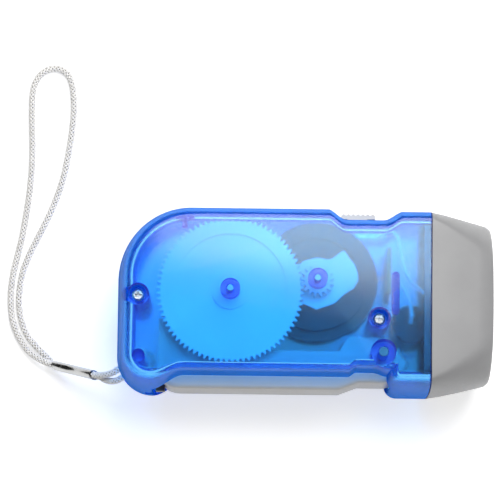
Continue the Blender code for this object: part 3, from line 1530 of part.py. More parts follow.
def build():
    clear_scene()
    front_shell()
    back_shell()
    head_bezel()
    lens()
    reflector()
    led_board()
    for number, centre in enumerate(led_places(), 1):
        led(number, centre)
    main_board()
    slide_switch()
    switch_knob()
    battery_pack()
    drive_lever()
    lever_latch()
    lever_spring()
    main_gear()
    clutch_pinion()
    flywheel()
    ring_magnet()
    stator_core()
    coil_bobbin()
    stator_coil()
    end_gap = FIT_GAP
    front_end = CASE_THICKNESS - AXLE_SOCKET_WALL - end_gap
    axle("main_gear_axle", GEAR_AXIS, AXLE_RADIUS, CASE_WALL + end_gap, front_end)
    axle("flywheel_axle", FLYWHEEL_AXIS, AXLE_RADIUS, CASE_WALL + end_gap, front_end)
    axle("lever_pin", PIVOT, LEVER_PIN_RADIUS, CASE_WALL + end_gap, front_end)
    screw("case_screw_left", LEFT_SCREW)
    screw("case_screw_right", RIGHT_SCREW)
    strap_ferrule()
    spacing = STRAP_WIDTH * 2.5
    curve_tube("strap_cord", smooth_route(STRAP_ROUTE, spacing), STRAP_WIDTH / 2, braid())
    curve_tube("strap_bight", smooth_route(BIGHT_ROUTE, STRAP_WIDTH), STRAP_WIDTH / 2, braid())
    for name, route in (
        ("lamp_lead", LAMP_LEAD_ROUTE),
        ("battery_lead", BATTERY_LEAD_ROUTE),
        ("coil_lead", COIL_LEAD_ROUTE),
    ):
        curve_tube(name, smooth_route(route, WIRE_RADIUS * 5), WIRE_RADIUS, lead_colour())
    put_origins_on_joints()


build()
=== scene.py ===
"""Looks for the squeeze-powered flashlight.

Finer shells, lamp end, lever and cord, and the materials, floor, light and camera.
"""

import math

import bmesh
import bpy
import numpy as np
from mathutils import Matrix, Vector

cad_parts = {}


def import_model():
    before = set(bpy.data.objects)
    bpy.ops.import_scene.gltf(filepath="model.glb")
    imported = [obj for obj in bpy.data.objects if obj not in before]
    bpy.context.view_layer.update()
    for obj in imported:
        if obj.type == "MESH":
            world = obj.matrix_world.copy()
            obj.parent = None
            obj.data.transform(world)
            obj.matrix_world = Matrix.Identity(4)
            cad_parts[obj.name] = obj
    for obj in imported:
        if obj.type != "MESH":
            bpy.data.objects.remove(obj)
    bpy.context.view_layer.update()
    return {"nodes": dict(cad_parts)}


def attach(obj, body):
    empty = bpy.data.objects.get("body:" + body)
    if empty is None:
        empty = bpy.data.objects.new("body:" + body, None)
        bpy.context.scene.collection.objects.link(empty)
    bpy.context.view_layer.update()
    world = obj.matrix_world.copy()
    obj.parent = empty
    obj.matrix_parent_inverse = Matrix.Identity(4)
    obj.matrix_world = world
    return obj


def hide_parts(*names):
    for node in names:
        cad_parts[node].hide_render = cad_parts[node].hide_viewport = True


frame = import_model()
scene = bpy.context.scene

# Clearances
FIT_GAP = 0.0003
RUN_GAP = 0.0004
OVERRUN = 0.001

# Whole body
CASE_LENGTH = 0.0865
HEAD_LENGTH = 0.0174
GEAR_TO_LEFT_END = 0.0314
CASE_HEIGHT = 0.0513
CASE_THICKNESS = 0.041
CASE_WALL = 0.0018
EDGE_ROUND = 0.0038
EDGE_POWER_SHARE = 2.3
TIGHT_ROUND_SHARE = 0.35
TOP_CORNER_RADIUS = 0.0205
LOW_CORNER_RADIUS = 0.0096
LEVEL_STEPS = 20
LEVEL_SHARES = tuple(
    math.sin(math.pi / 2 * i / LEVEL_STEPS) ** (2 / EDGE_POWER_SHARE)
    for i in range(LEVEL_STEPS + 1)
)
FACE_STEPS = 16
FACE_SHARES = tuple(1 - 2 * i / FACE_STEPS for i in range(1, FACE_STEPS))

# Switch recess in the top edge
SWITCH_RECESS_X = 0.0166
SWITCH_RECESS_FLAT = 0.01
SWITCH_RAMP = 0.005
RAMP_CREASE_SHARE = 0.5
SWITCH_RECESS_DEPTH = 0.0029
TOP_EDGE_DROP = 0.0005
KNOB_LEFT = 0.0102
KNOB_LENGTH = 0.0095
KNOB_WIDTH = 0.007
KNOB_HEIGHT = 0.0011
KNOB_LIFT = 0.0007
KNOB_FOOT_LENGTH = 0.0056
KNOB_STEM = 0.0026
KNOB_STEM_SHIFT = 0.004
KNOB_RIBS = 7
KNOB_RIB_SHARE = 0.25
KNOB_RIB_HEIGHT = 0.0004
KNOB_TRAVEL = 0.003

# Lever recess in the low edge
LEVER_RECESS_DEPTH = 0.0042
LEVER_RAMP = 0.0092
RECESS_RIGHT_END = 0.0121
ARCH_RISE = 0.0012
ARCH_RAMP = 0.0024
ARCH_FLAT = 0.0044
LOBE_LEFT_INSET = 0.0118
LOBE_CORNER_RADIUS = 0.0036
LOBE_TOP_DROP = 0.001

# Gear train: 80 teeth of module 0.5 mm drive 17, and the horn's 104 of 0.8 mm drive a pinion's 10
GEAR_AXIS = (-0.02055, 0.002)
CLUTCH_DISTANCE = 0.02425
CLUTCH_DIRECTION = math.radians(7.3)
HORN_MODULE = 0.0008
HORN_RADIUS = 0.0416
HORN_TEETH_IN_CIRCLE = 104
HORN_DISTANCE = 0.0456
PIVOT_DIRECTION = math.radians(-22.05)
PRESSURE_ANGLE = math.radians(20)
TOOTH_TIP_SHARE = 0.85
TOOTH_ROOT_SHARE = 1.25
TOOTH_FLANK_SHARES = (0.0, 0.4, 0.7, 1.0)
BACKLASH = 0.00016
GEAR_TOP_Z = 0.0336
AXLE_RADIUS = 0.00085
AXLE_BORE_GAP = 0.00025
AXLE_BOSS_RADIUS = 0.0027
AXLE_SOCKET_WALL = 0.001

# Lever
LEVER_WIDTH = 0.018
LEVER_WALL = 0.0016
LEVER_FLOOR = 0.0018
LEVER_TIP_X = -0.0391
LEVER_BOTTOM_INSET = 0.0008
LEVER_TIP_REACH = 0.0049
LEVER_TIP_HEIGHT = 0.0026
LEVER_NECK = 0.003
KNUCKLE_FROM = math.radians(268)
KNUCKLE_TO = math.radians(345)
LEVER_EDGE_ROUND = 0.0013
LEVER_EDGE_SHARES = ((0.0, 1.0), (0.18, 0.46), (0.5, 0.14), (1.0, 0.0))
LEVER_SLOT_GAP = 0.0007
LEVER_INNER_LEFT = 0.0402
LEVER_INNER_TOP = 0.0055
LEVER_DIP_TOP = 0.0142
LEVER_PIN_RADIUS = 0.0012
LEVER_PIN_GAP = 0.0002
LEVER_BARREL_RADIUS = 0.0026
LEVER_BOSS_RADIUS = 0.0035
KNUCKLE_RADIUS = 0.0077
HORN_WIDTH = 0.0062
HORN_THICKNESS = 0.003
HORN_BOTTOM_Z = 0.0158
HORN_TEETH_FROM = math.radians(130.5)
HORN_TEETH_TO = math.radians(160.5)

# Lock bolt in the lever tip
BOLT_LENGTH = 0.0066
BOLT_WIDTH = 0.01
BOLT_HEIGHT = 0.0015
BOLT_TRAVEL = 0.002
BOLT_TAB_LENGTH = 0.0024
BOLT_TAB_WIDTH = 0.004

# Flywheel, clutch and generator
FLYWHEEL_BOTTOM_Z = 0.0202
STATOR_POST_RADIUS = 0.004

# Screws and posts
SCREW_POST_RADIUS = 0.0031
SCREW_RECESS_RADIUS = 0.00235
SCREW_HEAD_RADIUS = 0.0017
SCREW_HEAD_HEIGHT = 0.0013
SCREW_HEAD_Z = 0.0355
SCREW_EDGE_SHARE = 0.6
SCREW_DOME_SHARE = 0.7
SCREW_SHANK_RADIUS = 0.0008
SCREW_LENGTH = 0.023
SCREW_HOLE_GAP = 0.00025
SCREW_CROSS_LENGTH = 0.002
SCREW_CROSS_WIDTH = 0.00045
SCREW_CROSS_DEPTH = 0.0007
LEFT_SCREW = (-0.0459, 0.0)
RIGHT_SCREW = (0.0205, -0.0059)
STRAP_POST = (-0.0455, -0.0169)
STRAP_POST_RADIUS = 0.0018

# Ribs inside the front shell
RIB_WIDTH = 0.0021
RIB_LENGTH = 0.0098
RIB_HEIGHT = 0.003
RIB_X = 0.0249
RIB_Y = 0.001
T_RIB = (-0.0333, 0.0215)
T_RIB_LENGTH = 0.0053
T_RIB_STEM = 0.0031
T_RIB_WIDTH = 0.0014

# Lamp end
HEAD_NARROWING = 0.0073
HEAD_THINNING = 0.006
HEAD_FRONT_ROUND = 0.013
HEAD_BULGE = 0.0005
HEAD_TAPER_POWER_SHARE = 1.25
HEAD_RING_SHARES = (0.0, 0.25, 0.5, 0.75, 0.94)
HEAD_WALL = 0.0016
HEAD_LIP = 0.0011
HEAD_SPIGOT = 0.0018
LENS_THICKNESS = 0.0014
LENS_SETBACK = 0.001

# Electrical parts in the case
BOARD_X = 0.0229
BOARD_THICKNESS = 0.0014
BOARD_LOW_Y = 0.0022
BOARD_WIDTH = 0.013
BOARD_RIB = 0.001
BOARD_RIB_HEIGHT = 0.005
BATTERY_RADIUS = 0.0054
BATTERY_LOW_Z = 0.0042
BATTERY_AXIS = (0.0297, -0.006)
CRADLE_WALL = 0.001
CRADLE_HEIGHT = 0.003

# Wrist strap
STRAP_WIDTH = 0.002
STRAP_HOLE_HEIGHT = 0.007
STRAP_HOLE_DIRECTION = math.radians(206)
STRAP_HOLE_WIDTH = 0.0042
FERRULE_HALF_WIDTH = 0.00135
FERRULE_HALF_HEIGHT = 0.0023
FERRULE_SWELL_SHARES = ((0.0, 1.0), (0.3, 1.0), (0.36, 0.86), (0.64, 0.86), (0.7, 1.0), (1.0, 1.0))

# Facets
ROUND_STEPS = 72
SMALL_STEPS = 32
CORNER_STEPS = 40
RAMP_STEPS = 16



def span(middle, half):
    return middle - half, middle + half


def place_round(centre, radius, angle):
    return centre[0] + radius * math.cos(angle), centre[1] + radius * math.sin(angle)


# Places worked out from the sizes above
PARTING_Z = CASE_THICKNESS / 2
LEFT_X = GEAR_AXIS[0] - GEAR_TO_LEFT_END
JOINT_X = LEFT_X + CASE_LENGTH
FRONT_X = JOINT_X + HEAD_LENGTH
TOP_Y = CASE_HEIGHT / 2
LOW_Y = -CASE_HEIGHT / 2
HEAD_DROP = TOP_EDGE_DROP / 2
RECESS_Y = LOW_Y + LEVER_RECESS_DEPTH
ARCH_Y = RECESS_Y + ARCH_RISE
LOBE_X = JOINT_X - LOBE_LEFT_INSET
SWITCH_FLOOR_Y = TOP_Y - SWITCH_RECESS_DEPTH
KNOB_FOOT_LEFT = SWITCH_RECESS_X - SWITCH_RECESS_FLAT / 2 + FIT_GAP
KNOB_STEM_X = KNOB_FOOT_LEFT + KNOB_STEM_SHIFT
SWITCH_BODY_TOP = SWITCH_FLOOR_Y - CASE_WALL - FIT_GAP
BOLT_LEFT = LEVER_TIP_X - LEVER_WALL - RUN_GAP * 2
FLYWHEEL_AXIS = place_round(GEAR_AXIS, CLUTCH_DISTANCE, CLUTCH_DIRECTION)
PIVOT = place_round(GEAR_AXIS, HORN_DISTANCE, PIVOT_DIRECTION)
HORN_ROOT = HORN_RADIUS - TOOTH_ROOT_SHARE * HORN_MODULE
LEVER_LOW_Z, LEVER_HIGH_Z = span(PARTING_Z, LEVER_WIDTH / 2)
LEVER_BOTTOM_Y = LOW_Y + LEVER_BOTTOM_INSET
LEVER_FLOOR_Y = LEVER_BOTTOM_Y + LEVER_FLOOR
CLUTCH_TOP_Z = GEAR_TOP_Z + RUN_GAP
AXLE_HOLE = AXLE_RADIUS + AXLE_BORE_GAP
PIN_HOLE = LEVER_PIN_RADIUS + LEVER_PIN_GAP
SCREW_HOLE = SCREW_SHANK_RADIUS + SCREW_HOLE_GAP

# Route of the wrist strap's loop, from the ferrule down to the table, round and back up
CORD_REST_Z = 0.00105
STRAP_DOWN = (
    (-0.06981, -0.01656, 0.00281), (-0.07075, -0.0162, 0.00212), (-0.0719, -0.0149, 0.0015),
    (-0.0732, -0.0134, 0.00115),
)
STRAP_ON_TABLE = (
    (-0.0755, -0.0112), (-0.0778, -0.0087), (-0.0794, -0.006), (-0.0804, -0.0031),
    (-0.081, -0.0002), (-0.0812, 0.0028), (-0.081, 0.0064), (-0.0802, 0.0111),
    (-0.0784, 0.016), (-0.0761, 0.0209), (-0.0737, 0.0259), (-0.0713, 0.0317),
    (-0.0694, 0.0376), (-0.0682, 0.0434), (-0.0673, 0.0493), (-0.0667, 0.0552),
    (-0.0666, 0.06), (-0.0671, 0.0648), (-0.0683, 0.0681), (-0.0706, 0.0699),
    (-0.0733, 0.0701), (-0.0761, 0.0687), (-0.0779, 0.0659), (-0.0786, 0.0629),
    (-0.0787, 0.0579), (-0.0785, 0.0521), (-0.0783, 0.0462), (-0.0784, 0.0404),
    (-0.0788, 0.0345), (-0.0795, 0.0287), (-0.0807, 0.0209), (-0.0818, 0.0159),
    (-0.0829, 0.011), (-0.0835, 0.0063), (-0.0836, 0.0026), (-0.0834, -0.0003),
    (-0.0829, -0.0034), (-0.0819, -0.0064),
)
STRAP_UP = (
    (-0.0803, -0.0094, 0.00115), (-0.0782, -0.0121, 0.0016), (-0.0753, -0.0143, 0.0027),
    (-0.0723, -0.0158, 0.00385), (-0.07111, -0.01617, 0.00466),
)
STRAP_ROUTE = (*STRAP_DOWN, *((x, y, CORD_REST_Z) for x, y in STRAP_ON_TABLE), *STRAP_UP)

# Route of the strap's short bight, from the ferrule through the case, round the post and out
BIGHT_ROUTE = (
    (-0.05912, -0.01982, 0.01379), (-0.05815, -0.02011, 0.01453), (-0.0569, -0.0202, 0.0157),
    (-0.0554, -0.0202, 0.0171), (-0.0541, -0.02, 0.0182), (-0.0529, -0.0196, 0.0191),
    (-0.0519, -0.019, 0.0199), (-0.0507, -0.0184, 0.0204), (-0.0494, -0.0171, 0.0205),
    (-0.0484, -0.0153, 0.0205), (-0.0467, -0.0138, 0.0205), (-0.0446, -0.0136, 0.0205),
    (-0.0426, -0.0152, 0.0205), (-0.0422, -0.0177, 0.0205), (-0.0433, -0.0196, 0.0205),
    (-0.0451, -0.0203, 0.0205), (-0.0469, -0.0207, 0.0205), (-0.049, -0.0209, 0.0203),
    (-0.0507, -0.0213, 0.0196), (-0.0518, -0.0218, 0.0186), (-0.053, -0.022, 0.0174),
    (-0.0544, -0.0218, 0.0157), (-0.0557, -0.0213, 0.0141), (-0.0567, -0.02055, 0.01279),
    (-0.05782, -0.02021, 0.01194),
)
FERRULE_LOW = (-0.06984, -0.01655, 0.0042)
FERRULE_HIGH = (-0.05882, -0.01991, 0.0126)

# Materials

WHITE = (1.0, 1.0, 1.0, 1.0)
PLASTIC_IOR = 1.45
EVEN_BLEND = 0.5
COARSE_DETAIL = 4.0
FINE_DETAIL = 3.0
NOISE_ROUGHNESS = 0.6
SOLID_BUMP = 0.5
CLEAR_BUMP = 0.3
CLOUD_SCALE = 45.0
CLOUD_SHARE = 0.8
MILKY_ROUGHNESS = 0.35
BLUE_TINT = (0.15, 0.60, 0.99)
DEEP_TINT = (0.01, 0.22, 0.97)
BLUE_HAZE = (0.02, 0.25, 1.0)
BACK_TINT = (0.21, 0.74, 0.99)
BACK_HAZE = (0.02, 0.45, 0.98)
POST_TINT = (0.16, 0.36, 0.98)
POST_HAZE = (0.02, 0.06, 0.75)
RIB_TINT = (0.22, 0.18, 0.85)
RIB_HAZE = (0.06, 0.02, 0.42)
PALE_TINT = (0.97, 0.98, 0.99)
CLEAR_GRAIN = (300.0, 2e-6)


def add_node(tree, kind, inputs=None, output=0, **settings):
    """Adds a shader node, sets or links its inputs by name or number, and gives one output."""
    node = tree.nodes.new("ShaderNode" + kind)
    for key, value in settings.items():
        setattr(node, key, value)
    for key, value in (inputs or {}).items():
        if isinstance(value, bpy.types.NodeSocket):
            tree.links.new(value, node.inputs[key])
        else:
            node.inputs[key].default_value = value
    return node.outputs[output] if len(node.outputs) else None


def plain_material(name):
    made = bpy.data.materials.new(name)
    made.use_nodes = True
    made.node_tree.nodes.clear()
    return made, made.node_tree


def noise_texture(tree, scale, detail=COARSE_DETAIL):
    place = add_node(tree, "TexCoord", output="Object")
    inputs = {"Vector": place, "Scale": scale, "Detail": detail, "Roughness": NOISE_ROUGHNESS}
    return add_node(tree, "TexNoise", inputs)


def ramp_between(tree, factor, low, high, start=0.35, end=0.65):
    """A value or colour that runs from low to high as the factor runs from start to end."""
    made = add_node(tree, "ValToRGB", {"Fac": factor})
    elements = made.node.color_ramp.elements
    elements[0].position, elements[1].position = start, end
    for element, value in zip(elements, (low, high)):
        element.color = (*value, 1.0) if isinstance(value, tuple) else (value, value, value, 1.0)
    return made


def math_node(tree, operation, first, second, clamp=False):
    return add_node(tree, "Math", {0: first, 1: second}, operation=operation, use_clamp=clamp)


def mix_shaders(tree, share, first, second):
    return add_node(tree, "MixShader", {"Fac": share, 1: first, 2: second})


def grained(tree, rough, grain, grain_depth, strength):
    """Uneven roughness and a fine bump, both from one noise."""
    fine = noise_texture(tree, grain, FINE_DETAIL)
    relief = {"Strength": strength, "Distance": grain_depth, "Height": fine}
    return {
        "Roughness": ramp_between(tree, fine, *rough),
        "Normal": add_node(tree, "Bump", relief),
    }


def surface(name, dark, light, rough, grain=900.0, grain_depth=2e-5, mottle=60.0, **values):
    """A solid finish: two near colours in soft patches, uneven roughness and a fine grain."""
    made, tree = plain_material(name)
    inputs = grained(tree, rough, grain, grain_depth, SOLID_BUMP)
    inputs["Base Color"] = ramp_between(tree, noise_texture(tree, mottle), dark, light)
    for key, value in values.items():
        inputs[key.replace("_", " ")] = value
    add_node(tree, "OutputMaterial", {"Surface": add_node(tree, "BsdfPrincipled", inputs)})
    return made


def see_through(
    name, tint, rough, haze, haze_colour, grain, edge=0.0, edge_power=3.0, edge_on=0.6,
    deep_tint=DEEP_TINT,
):
    """Tinted plastic that bends and blurs what is behind it and lets the lamps' light in.

    Seen edge on, its tint is deeper, and where edge is above 0 it is more milky.
    """
    made, tree = plain_material(name)
    facing = add_node(tree, "LayerWeight", {"Blend": EVEN_BLEND}, "Facing")
    glassy = grained(tree, rough, *grain, CLEAR_BUMP)
    glassy["Base Color"] = ramp_between(tree, facing, tint, deep_tint, 0.0, edge_on)
    glassy |= {"Transmission Weight": 1.0, "IOR": PLASTIC_IOR}
    low = tuple(value * CLOUD_SHARE for value in haze_colour)
    milky = {
        "Base Color": ramp_between(tree, noise_texture(tree, CLOUD_SCALE), low, haze_colour),
        "Roughness": MILKY_ROUGHNESS,
        "Specular IOR Level": 0.0,
    }
    share = math_node(tree, "MULTIPLY", math_node(tree, "POWER", facing, edge_power), edge)
    share = math_node(tree, "ADD", share, haze, True)
    both = [add_node(tree, "BsdfPrincipled", inputs) for inputs in (glassy, milky)]
    body = mix_shaders(tree, share, *both)
    clear_colour = (*(math.sqrt(value) for value in tint), 1.0)
    clear = add_node(tree, "BsdfTransparent", {"Color": clear_colour})
    in_shadow = add_node(tree, "LightPath", output="Is Shadow Ray")
    add_node(tree, "OutputMaterial", {"Surface": mix_shaders(tree, in_shadow, body, clear)})
    return made


# Tint, roughness, milky share and colour, scale and depth of the grain, and for the edges: milky
# share, its power and how soon the deep tint is reached
BLUE_FINISHES = {
    "outside": (BLUE_TINT, (0.13, 0.18), 0.012, BLUE_HAZE, (1400.0, 1e-5), 1.0, 1.2),
    "behind": (BACK_TINT, (0.16, 0.22), 0.012, BLUE_HAZE, (1400.0, 1e-5), 1.0, 1.2),
    "inside": (BLUE_TINT, (0.14, 0.2), 0.015, BLUE_HAZE, (1800.0, 1e-5), 0.9, 3.5, 0.42),
    "back": (BACK_TINT, (0.18, 0.25), 0.15, BACK_HAZE, (900.0, 6e-6), 0.9, 3.5, 0.42),
    "post": (POST_TINT, (0.14, 0.2), 0.3, POST_HAZE, (900.0, 6e-6), 0.6, 4.0),
    "rib": (RIB_TINT, (0.2, 0.28), 0.6, RIB_HAZE, (900.0, 6e-6), 0.6, 4.0),
}
CLEAR_FINISHES = {
    "clear_lens_plastic": (PALE_TINT, (0.02, 0.04), 0.0, (0.8, 0.8, 0.8), CLEAR_GRAIN),
    "led_clear": (PALE_TINT, (0.03, 0.06), 0.05, (0.9, 0.85, 0.5), CLEAR_GRAIN),
}

# Darker and lighter colour, roughness, scale and depth of the grain, scale of the patches
SOLID_FINISHES = {
    "grey_satin_plastic": ((0.29, 0.29, 0.295), (0.315, 0.315, 0.32), (0.36, 0.46), 1400.0),
    # The plug's darker grey is painted shade, not a colour of its own
    "plug_painted_shade_grey": ((0.05, 0.05, 0.055), (0.07, 0.07, 0.075), (0.4, 0.5), 1400.0),
    "lever_satin_plastic": ((0.475, 0.465, 0.45), (0.515, 0.505, 0.49), (0.36, 0.46), 1400.0),
    "knob_pale_plastic": ((0.60, 0.575, 0.52), (0.66, 0.64, 0.57), (0.38, 0.5), 1500.0),
    "gear_white_plastic": ((0.74, 0.76, 0.74), (0.80, 0.81, 0.80), (0.4, 0.5)),
    "wheel_black_plastic": ((0.018, 0.018, 0.02), (0.03, 0.03, 0.034), (0.38, 0.5), 900.0, 3e-5),
    "magnet_dark": ((0.03, 0.03, 0.032), (0.05, 0.05, 0.052), (0.5, 0.62), 1300.0, 4e-5),
    "board_green": ((0.02, 0.16, 0.07), (0.03, 0.22, 0.10), (0.3, 0.42), 800.0),
    "sleeve_dark_blue": ((0.008, 0.01, 0.02), (0.014, 0.018, 0.035), (0.25, 0.4), 500.0, 3e-5),
    "lead_pale": ((0.90, 0.93, 0.95), (0.95, 0.97, 0.98), (0.42, 0.52)),
    "yarn_shadow": ((0.05, 0.045, 0.04), (0.08, 0.075, 0.07), (0.7, 0.8), 3000.0, 3e-5),
    "black_card": ((0.01, 0.01, 0.01), (0.02, 0.02, 0.02), (0.8, 0.9)),
}
METAL_FINISHES = {
    "bright_steel": ((0.66, 0.66, 0.67), (0.78, 0.78, 0.79), (0.16, 0.3), 2500.0, 1e-5),
    "pin_steel": ((0.42, 0.42, 0.43), (0.55, 0.55, 0.56), (0.35, 0.5), 2500.0, 1e-5),
    "pin_dark_steel": ((0.08, 0.08, 0.085), (0.12, 0.12, 0.125), (0.35, 0.5), 2500.0, 1e-5),
    "polished_steel": ((0.42, 0.42, 0.41), (0.52, 0.52, 0.51), (0.18, 0.28), 900.0, 4e-6),
    "screw_steel": ((0.28, 0.28, 0.27), (0.85, 0.85, 0.82), (0.3, 0.5), 2200.0, 4e-4, 1800.0),
    "copper_wire": ((0.55, 0.20, 0.08), (0.72, 0.30, 0.12), (0.25, 0.4), 2500.0, 4e-5),
    "mirror_bright": ((0.86, 0.86, 0.87), (0.9, 0.9, 0.9), (0.05, 0.1), 500.0, 4e-6),
}
finishes = {}
for name, values in BLUE_FINISHES.items():
    finishes[name] = see_through("blue_plastic_" + name, *values)
for name, values in CLEAR_FINISHES.items():
    finishes[name] = see_through(name, *values, deep_tint=PALE_TINT)
for name, values in SOLID_FINISHES.items():
    finishes[name] = surface(name, *values)
for name, values in METAL_FINISHES.items():
    finishes[name] = surface(name, *values, Metallic=1.0)
yarn_silver = surface(
    "yarn_silver", (0.86, 0.845, 0.82), (0.98, 0.965, 0.94), (0.42, 0.6), 4000.0, 3e-5, 700.0,
    Sheen_Weight=0.4, Sheen_Roughness=0.4,
)

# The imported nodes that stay, by the finish they get
KEPT_NODES = {
    "board_green": ("led_board", "main_board"),
    "led_clear": ("led_1", "led_2", "led_3"),
    "bright_steel": ("slide_switch", "lever_spring", "stator_core"),
    "sleeve_dark_blue": ("battery_pack",),
    "wheel_black_plastic": ("lever_latch", "flywheel", "coil_bobbin"),
    "pin_dark_steel": ("lever_pin",),
    "gear_white_plastic": ("main_gear", "clutch_pinion"),
    "pin_steel": ("main_gear_axle", "flywheel_axle"),
    "magnet_dark": ("ring_magnet",),
    "copper_wire": ("stator_coil",),
    "lead_pale": ("lamp_lead", "battery_lead", "coil_lead"),
    "mirror_bright": ("reflector",),
}
for name, nodes in KEPT_NODES.items():
    for node_name in nodes:
        for slot in frame["nodes"][node_name].material_slots:
            slot.material = finishes[name]

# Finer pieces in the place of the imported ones

SHARP_ANGLE = math.radians(35)
PIECE_SHARP_ANGLE = math.radians(30)
ROUTE_STEPS = 12


def linked(name, data):
    obj = bpy.data.objects.new(name, data)
    scene.collection.objects.link(obj)
    return obj


def settle(obj):
    """Applies an object's Booleans and removes the bodies that shaped it."""
    graph = bpy.context.evaluated_depsgraph_get()
    mesh = bpy.data.meshes.new_from_object(obj.evaluated_get(graph))
    tools = [modifier.object for modifier in obj.modifiers]
    obj.modifiers.clear()
    obj.data = mesh
    while tools:
        tool = tools.pop()
        tools += [modifier.object for modifier in tool.modifiers]
        bpy.data.objects.remove(tool, do_unlink=True)
    mesh.shade_smooth()
    mesh.set_sharp_from_angle(angle=PIECE_SHARP_ANGLE)


def place_piece(obj, name, node, body):
    settle(obj)
    obj.name = name
    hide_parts(node)
    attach(obj, body)
    return obj


def loft(name, rings, finish=None, ends="capped"):
    """A smooth-shaded body through rings of equal counts, with its faces turned outwards.

    Its two ends are capped, joined to each other or open.
    """
    bm = bmesh.new()
    rows = [[bm.verts.new(point) for point in ring] for ring in rings]
    pairs = list(zip(rows, rows[1:]))
    if ends == "joined":
        pairs.append((rows[-1], rows[0]))
    for low, high in pairs:
        count = len(low)
        for i in range(count):
            j = (i + 1) % count
            bm.faces.new((low[i], low[j], high[j], high[i]))
    if ends == "capped":
        bm.faces.new(rows[0][::-1])
        bm.faces.new(rows[-1])
    bmesh.ops.recalc_face_normals(bm, faces=bm.faces)
    if bm.calc_volume(signed=True) < 0:
        bmesh.ops.reverse_faces(bm, faces=bm.faces)
    mesh = bpy.data.meshes.new(name)
    bm.to_mesh(mesh)
    bm.free()
    if finish:
        mesh.materials.append(finish)
    mesh.shade_smooth()
    mesh.set_sharp_from_angle(angle=SHARP_ANGLE)
    return linked(name, mesh)


def prism(name, outline, low, high, finish=None):
    return loft(name, [[(x, y, z) for x, y in outline] for z in (low, high)], finish)


def block(name, x_range, y_range, z_range, finish=None):
    x0, x1 = x_range
    y0, y1 = y_range
    return prism(name, ((x0, y0), (x1, y0), (x1, y1), (x0, y1)), *z_range, finish)


def arc(centre, radius, start, end, steps=CORNER_STEPS):
    return [
        place_round(centre, radius, start + (end - start) * i / steps) for i in range(steps + 1)
    ]


def circle(centre, radius, steps=ROUND_STEPS):
    return arc(centre, radius, 0.0, 2 * math.pi, steps)[:-1]


def unit_circle(steps):
    return circle((0.0, 0.0), 1.0, steps)


def cylinder(name, centre, radius, low, high, finish=None, steps=ROUND_STEPS):
    return prism(name, circle(centre, radius, steps), low, high, finish)


def turned(name, centre, profile):
    """A body turned about a vertical axis from a closed profile of (radius, height) pairs."""
    rings = [
        [(centre[0] + r * x, centre[1] + r * y, z) for r, z in profile]
        for x, y in unit_circle(ROUND_STEPS)
    ]
    return loft(name, rings, ends="joined")


def combine(target, tool, operation):
    """Adds an exact Boolean whose tool keeps its own finish."""
    modifier = target.modifiers.new(operation.lower(), "BOOLEAN")
    modifier.operation = operation
    modifier.solver = "EXACT"
    modifier.object = tool
    modifier.material_mode = "TRANSFER"


def fuse(target, *tools):
    for tool in tools:
        combine(target, tool, "UNION")


def cut(target, *tools):
    for tool in tools:
        combine(target, tool, "DIFFERENCE")


def ramp(start, end, steps=RAMP_STEPS, crease=0.0):
    """An S-shaped curve between two levels; a crease makes it set off steeply at its start."""
    points = []
    for i in range(steps + 1):
        along = i / steps
        rise = (1 - math.cos(math.pi * along)) / 2
        rise += (math.sin(math.pi * along / 2) - rise) * crease
        x = start[0] + (end[0] - start[0]) * along
        points.append((x, start[1] + (end[1] - start[1]) * rise))
    return points


def edge_inset(share, depth=EDGE_ROUND):
    """How far the side has drawn in at a share of the way from the parting plane to the face."""
    return depth * (1 - (1 - share**EDGE_POWER_SHARE) ** (1 / EDGE_POWER_SHARE))


def case_outline(edge, wall, right_x):
    """The case's outline, from the top right anticlockwise, drawn in by its edge and a wall."""
    inset = edge + wall
    tight_inset = edge * TIGHT_ROUND_SHARE + wall
    top, low = TOP_Y - inset, LOW_Y + inset
    switch_floor = SWITCH_FLOOR_Y - inset
    recess, arch = RECESS_Y + tight_inset, ARCH_Y + tight_inset
    flat_left, flat_right = span(SWITCH_RECESS_X, SWITCH_RECESS_FLAT / 2)
    lobe_radius = max(LOBE_CORNER_RADIUS - tight_inset, FIT_GAP)
    lobe_x = LOBE_X + tight_inset
    ramp_start = LEFT_X + LOW_CORNER_RADIUS
    arch_left = RECESS_RIGHT_END
    arch_right = arch_left + ARCH_RAMP + ARCH_FLAT
    right_top = top - TOP_EDGE_DROP
    points = [(right_x, right_top)]
    for edge_x, edge_y, foot_x, order in (
        (flat_right + SWITCH_RAMP, right_top, flat_right, 1),
        (flat_left - SWITCH_RAMP, top, flat_left, -1),
    ):
        down = ramp((edge_x, edge_y), (foot_x, switch_floor), crease=RAMP_CREASE_SHARE)
        points += down[::order]
    for centre, radius, start in (
        ((LEFT_X + TOP_CORNER_RADIUS, TOP_Y - TOP_CORNER_RADIUS), TOP_CORNER_RADIUS, math.pi / 2),
        ((ramp_start, LOW_Y + LOW_CORNER_RADIUS), LOW_CORNER_RADIUS, math.pi),
    ):
        points += arc(centre, radius - inset, start, start + math.pi / 2)
    points += ramp((ramp_start, low), (ramp_start + LEVER_RAMP, recess))[1:]
    points += ramp((arch_left, recess), (arch_left + ARCH_RAMP, arch))
    points += ramp((arch_right, arch), (lobe_x, arch - LOBE_TOP_DROP), RAMP_STEPS // 2)
    points += arc(
        (lobe_x + lobe_radius, low + lobe_radius), lobe_radius, math.pi, 3 * math.pi / 2, RAMP_STEPS
    )
    points.append((right_x, low))
    return points


def shell_rings(base, depth, wall, right_x):
    """The case's outlines from the parting plane to the face, drawn in by a wall."""
    return [
        [(x, y, base + depth * share) for x, y in case_outline(edge_inset(share), wall, right_x)]
        for share in LEVEL_SHARES
    ]


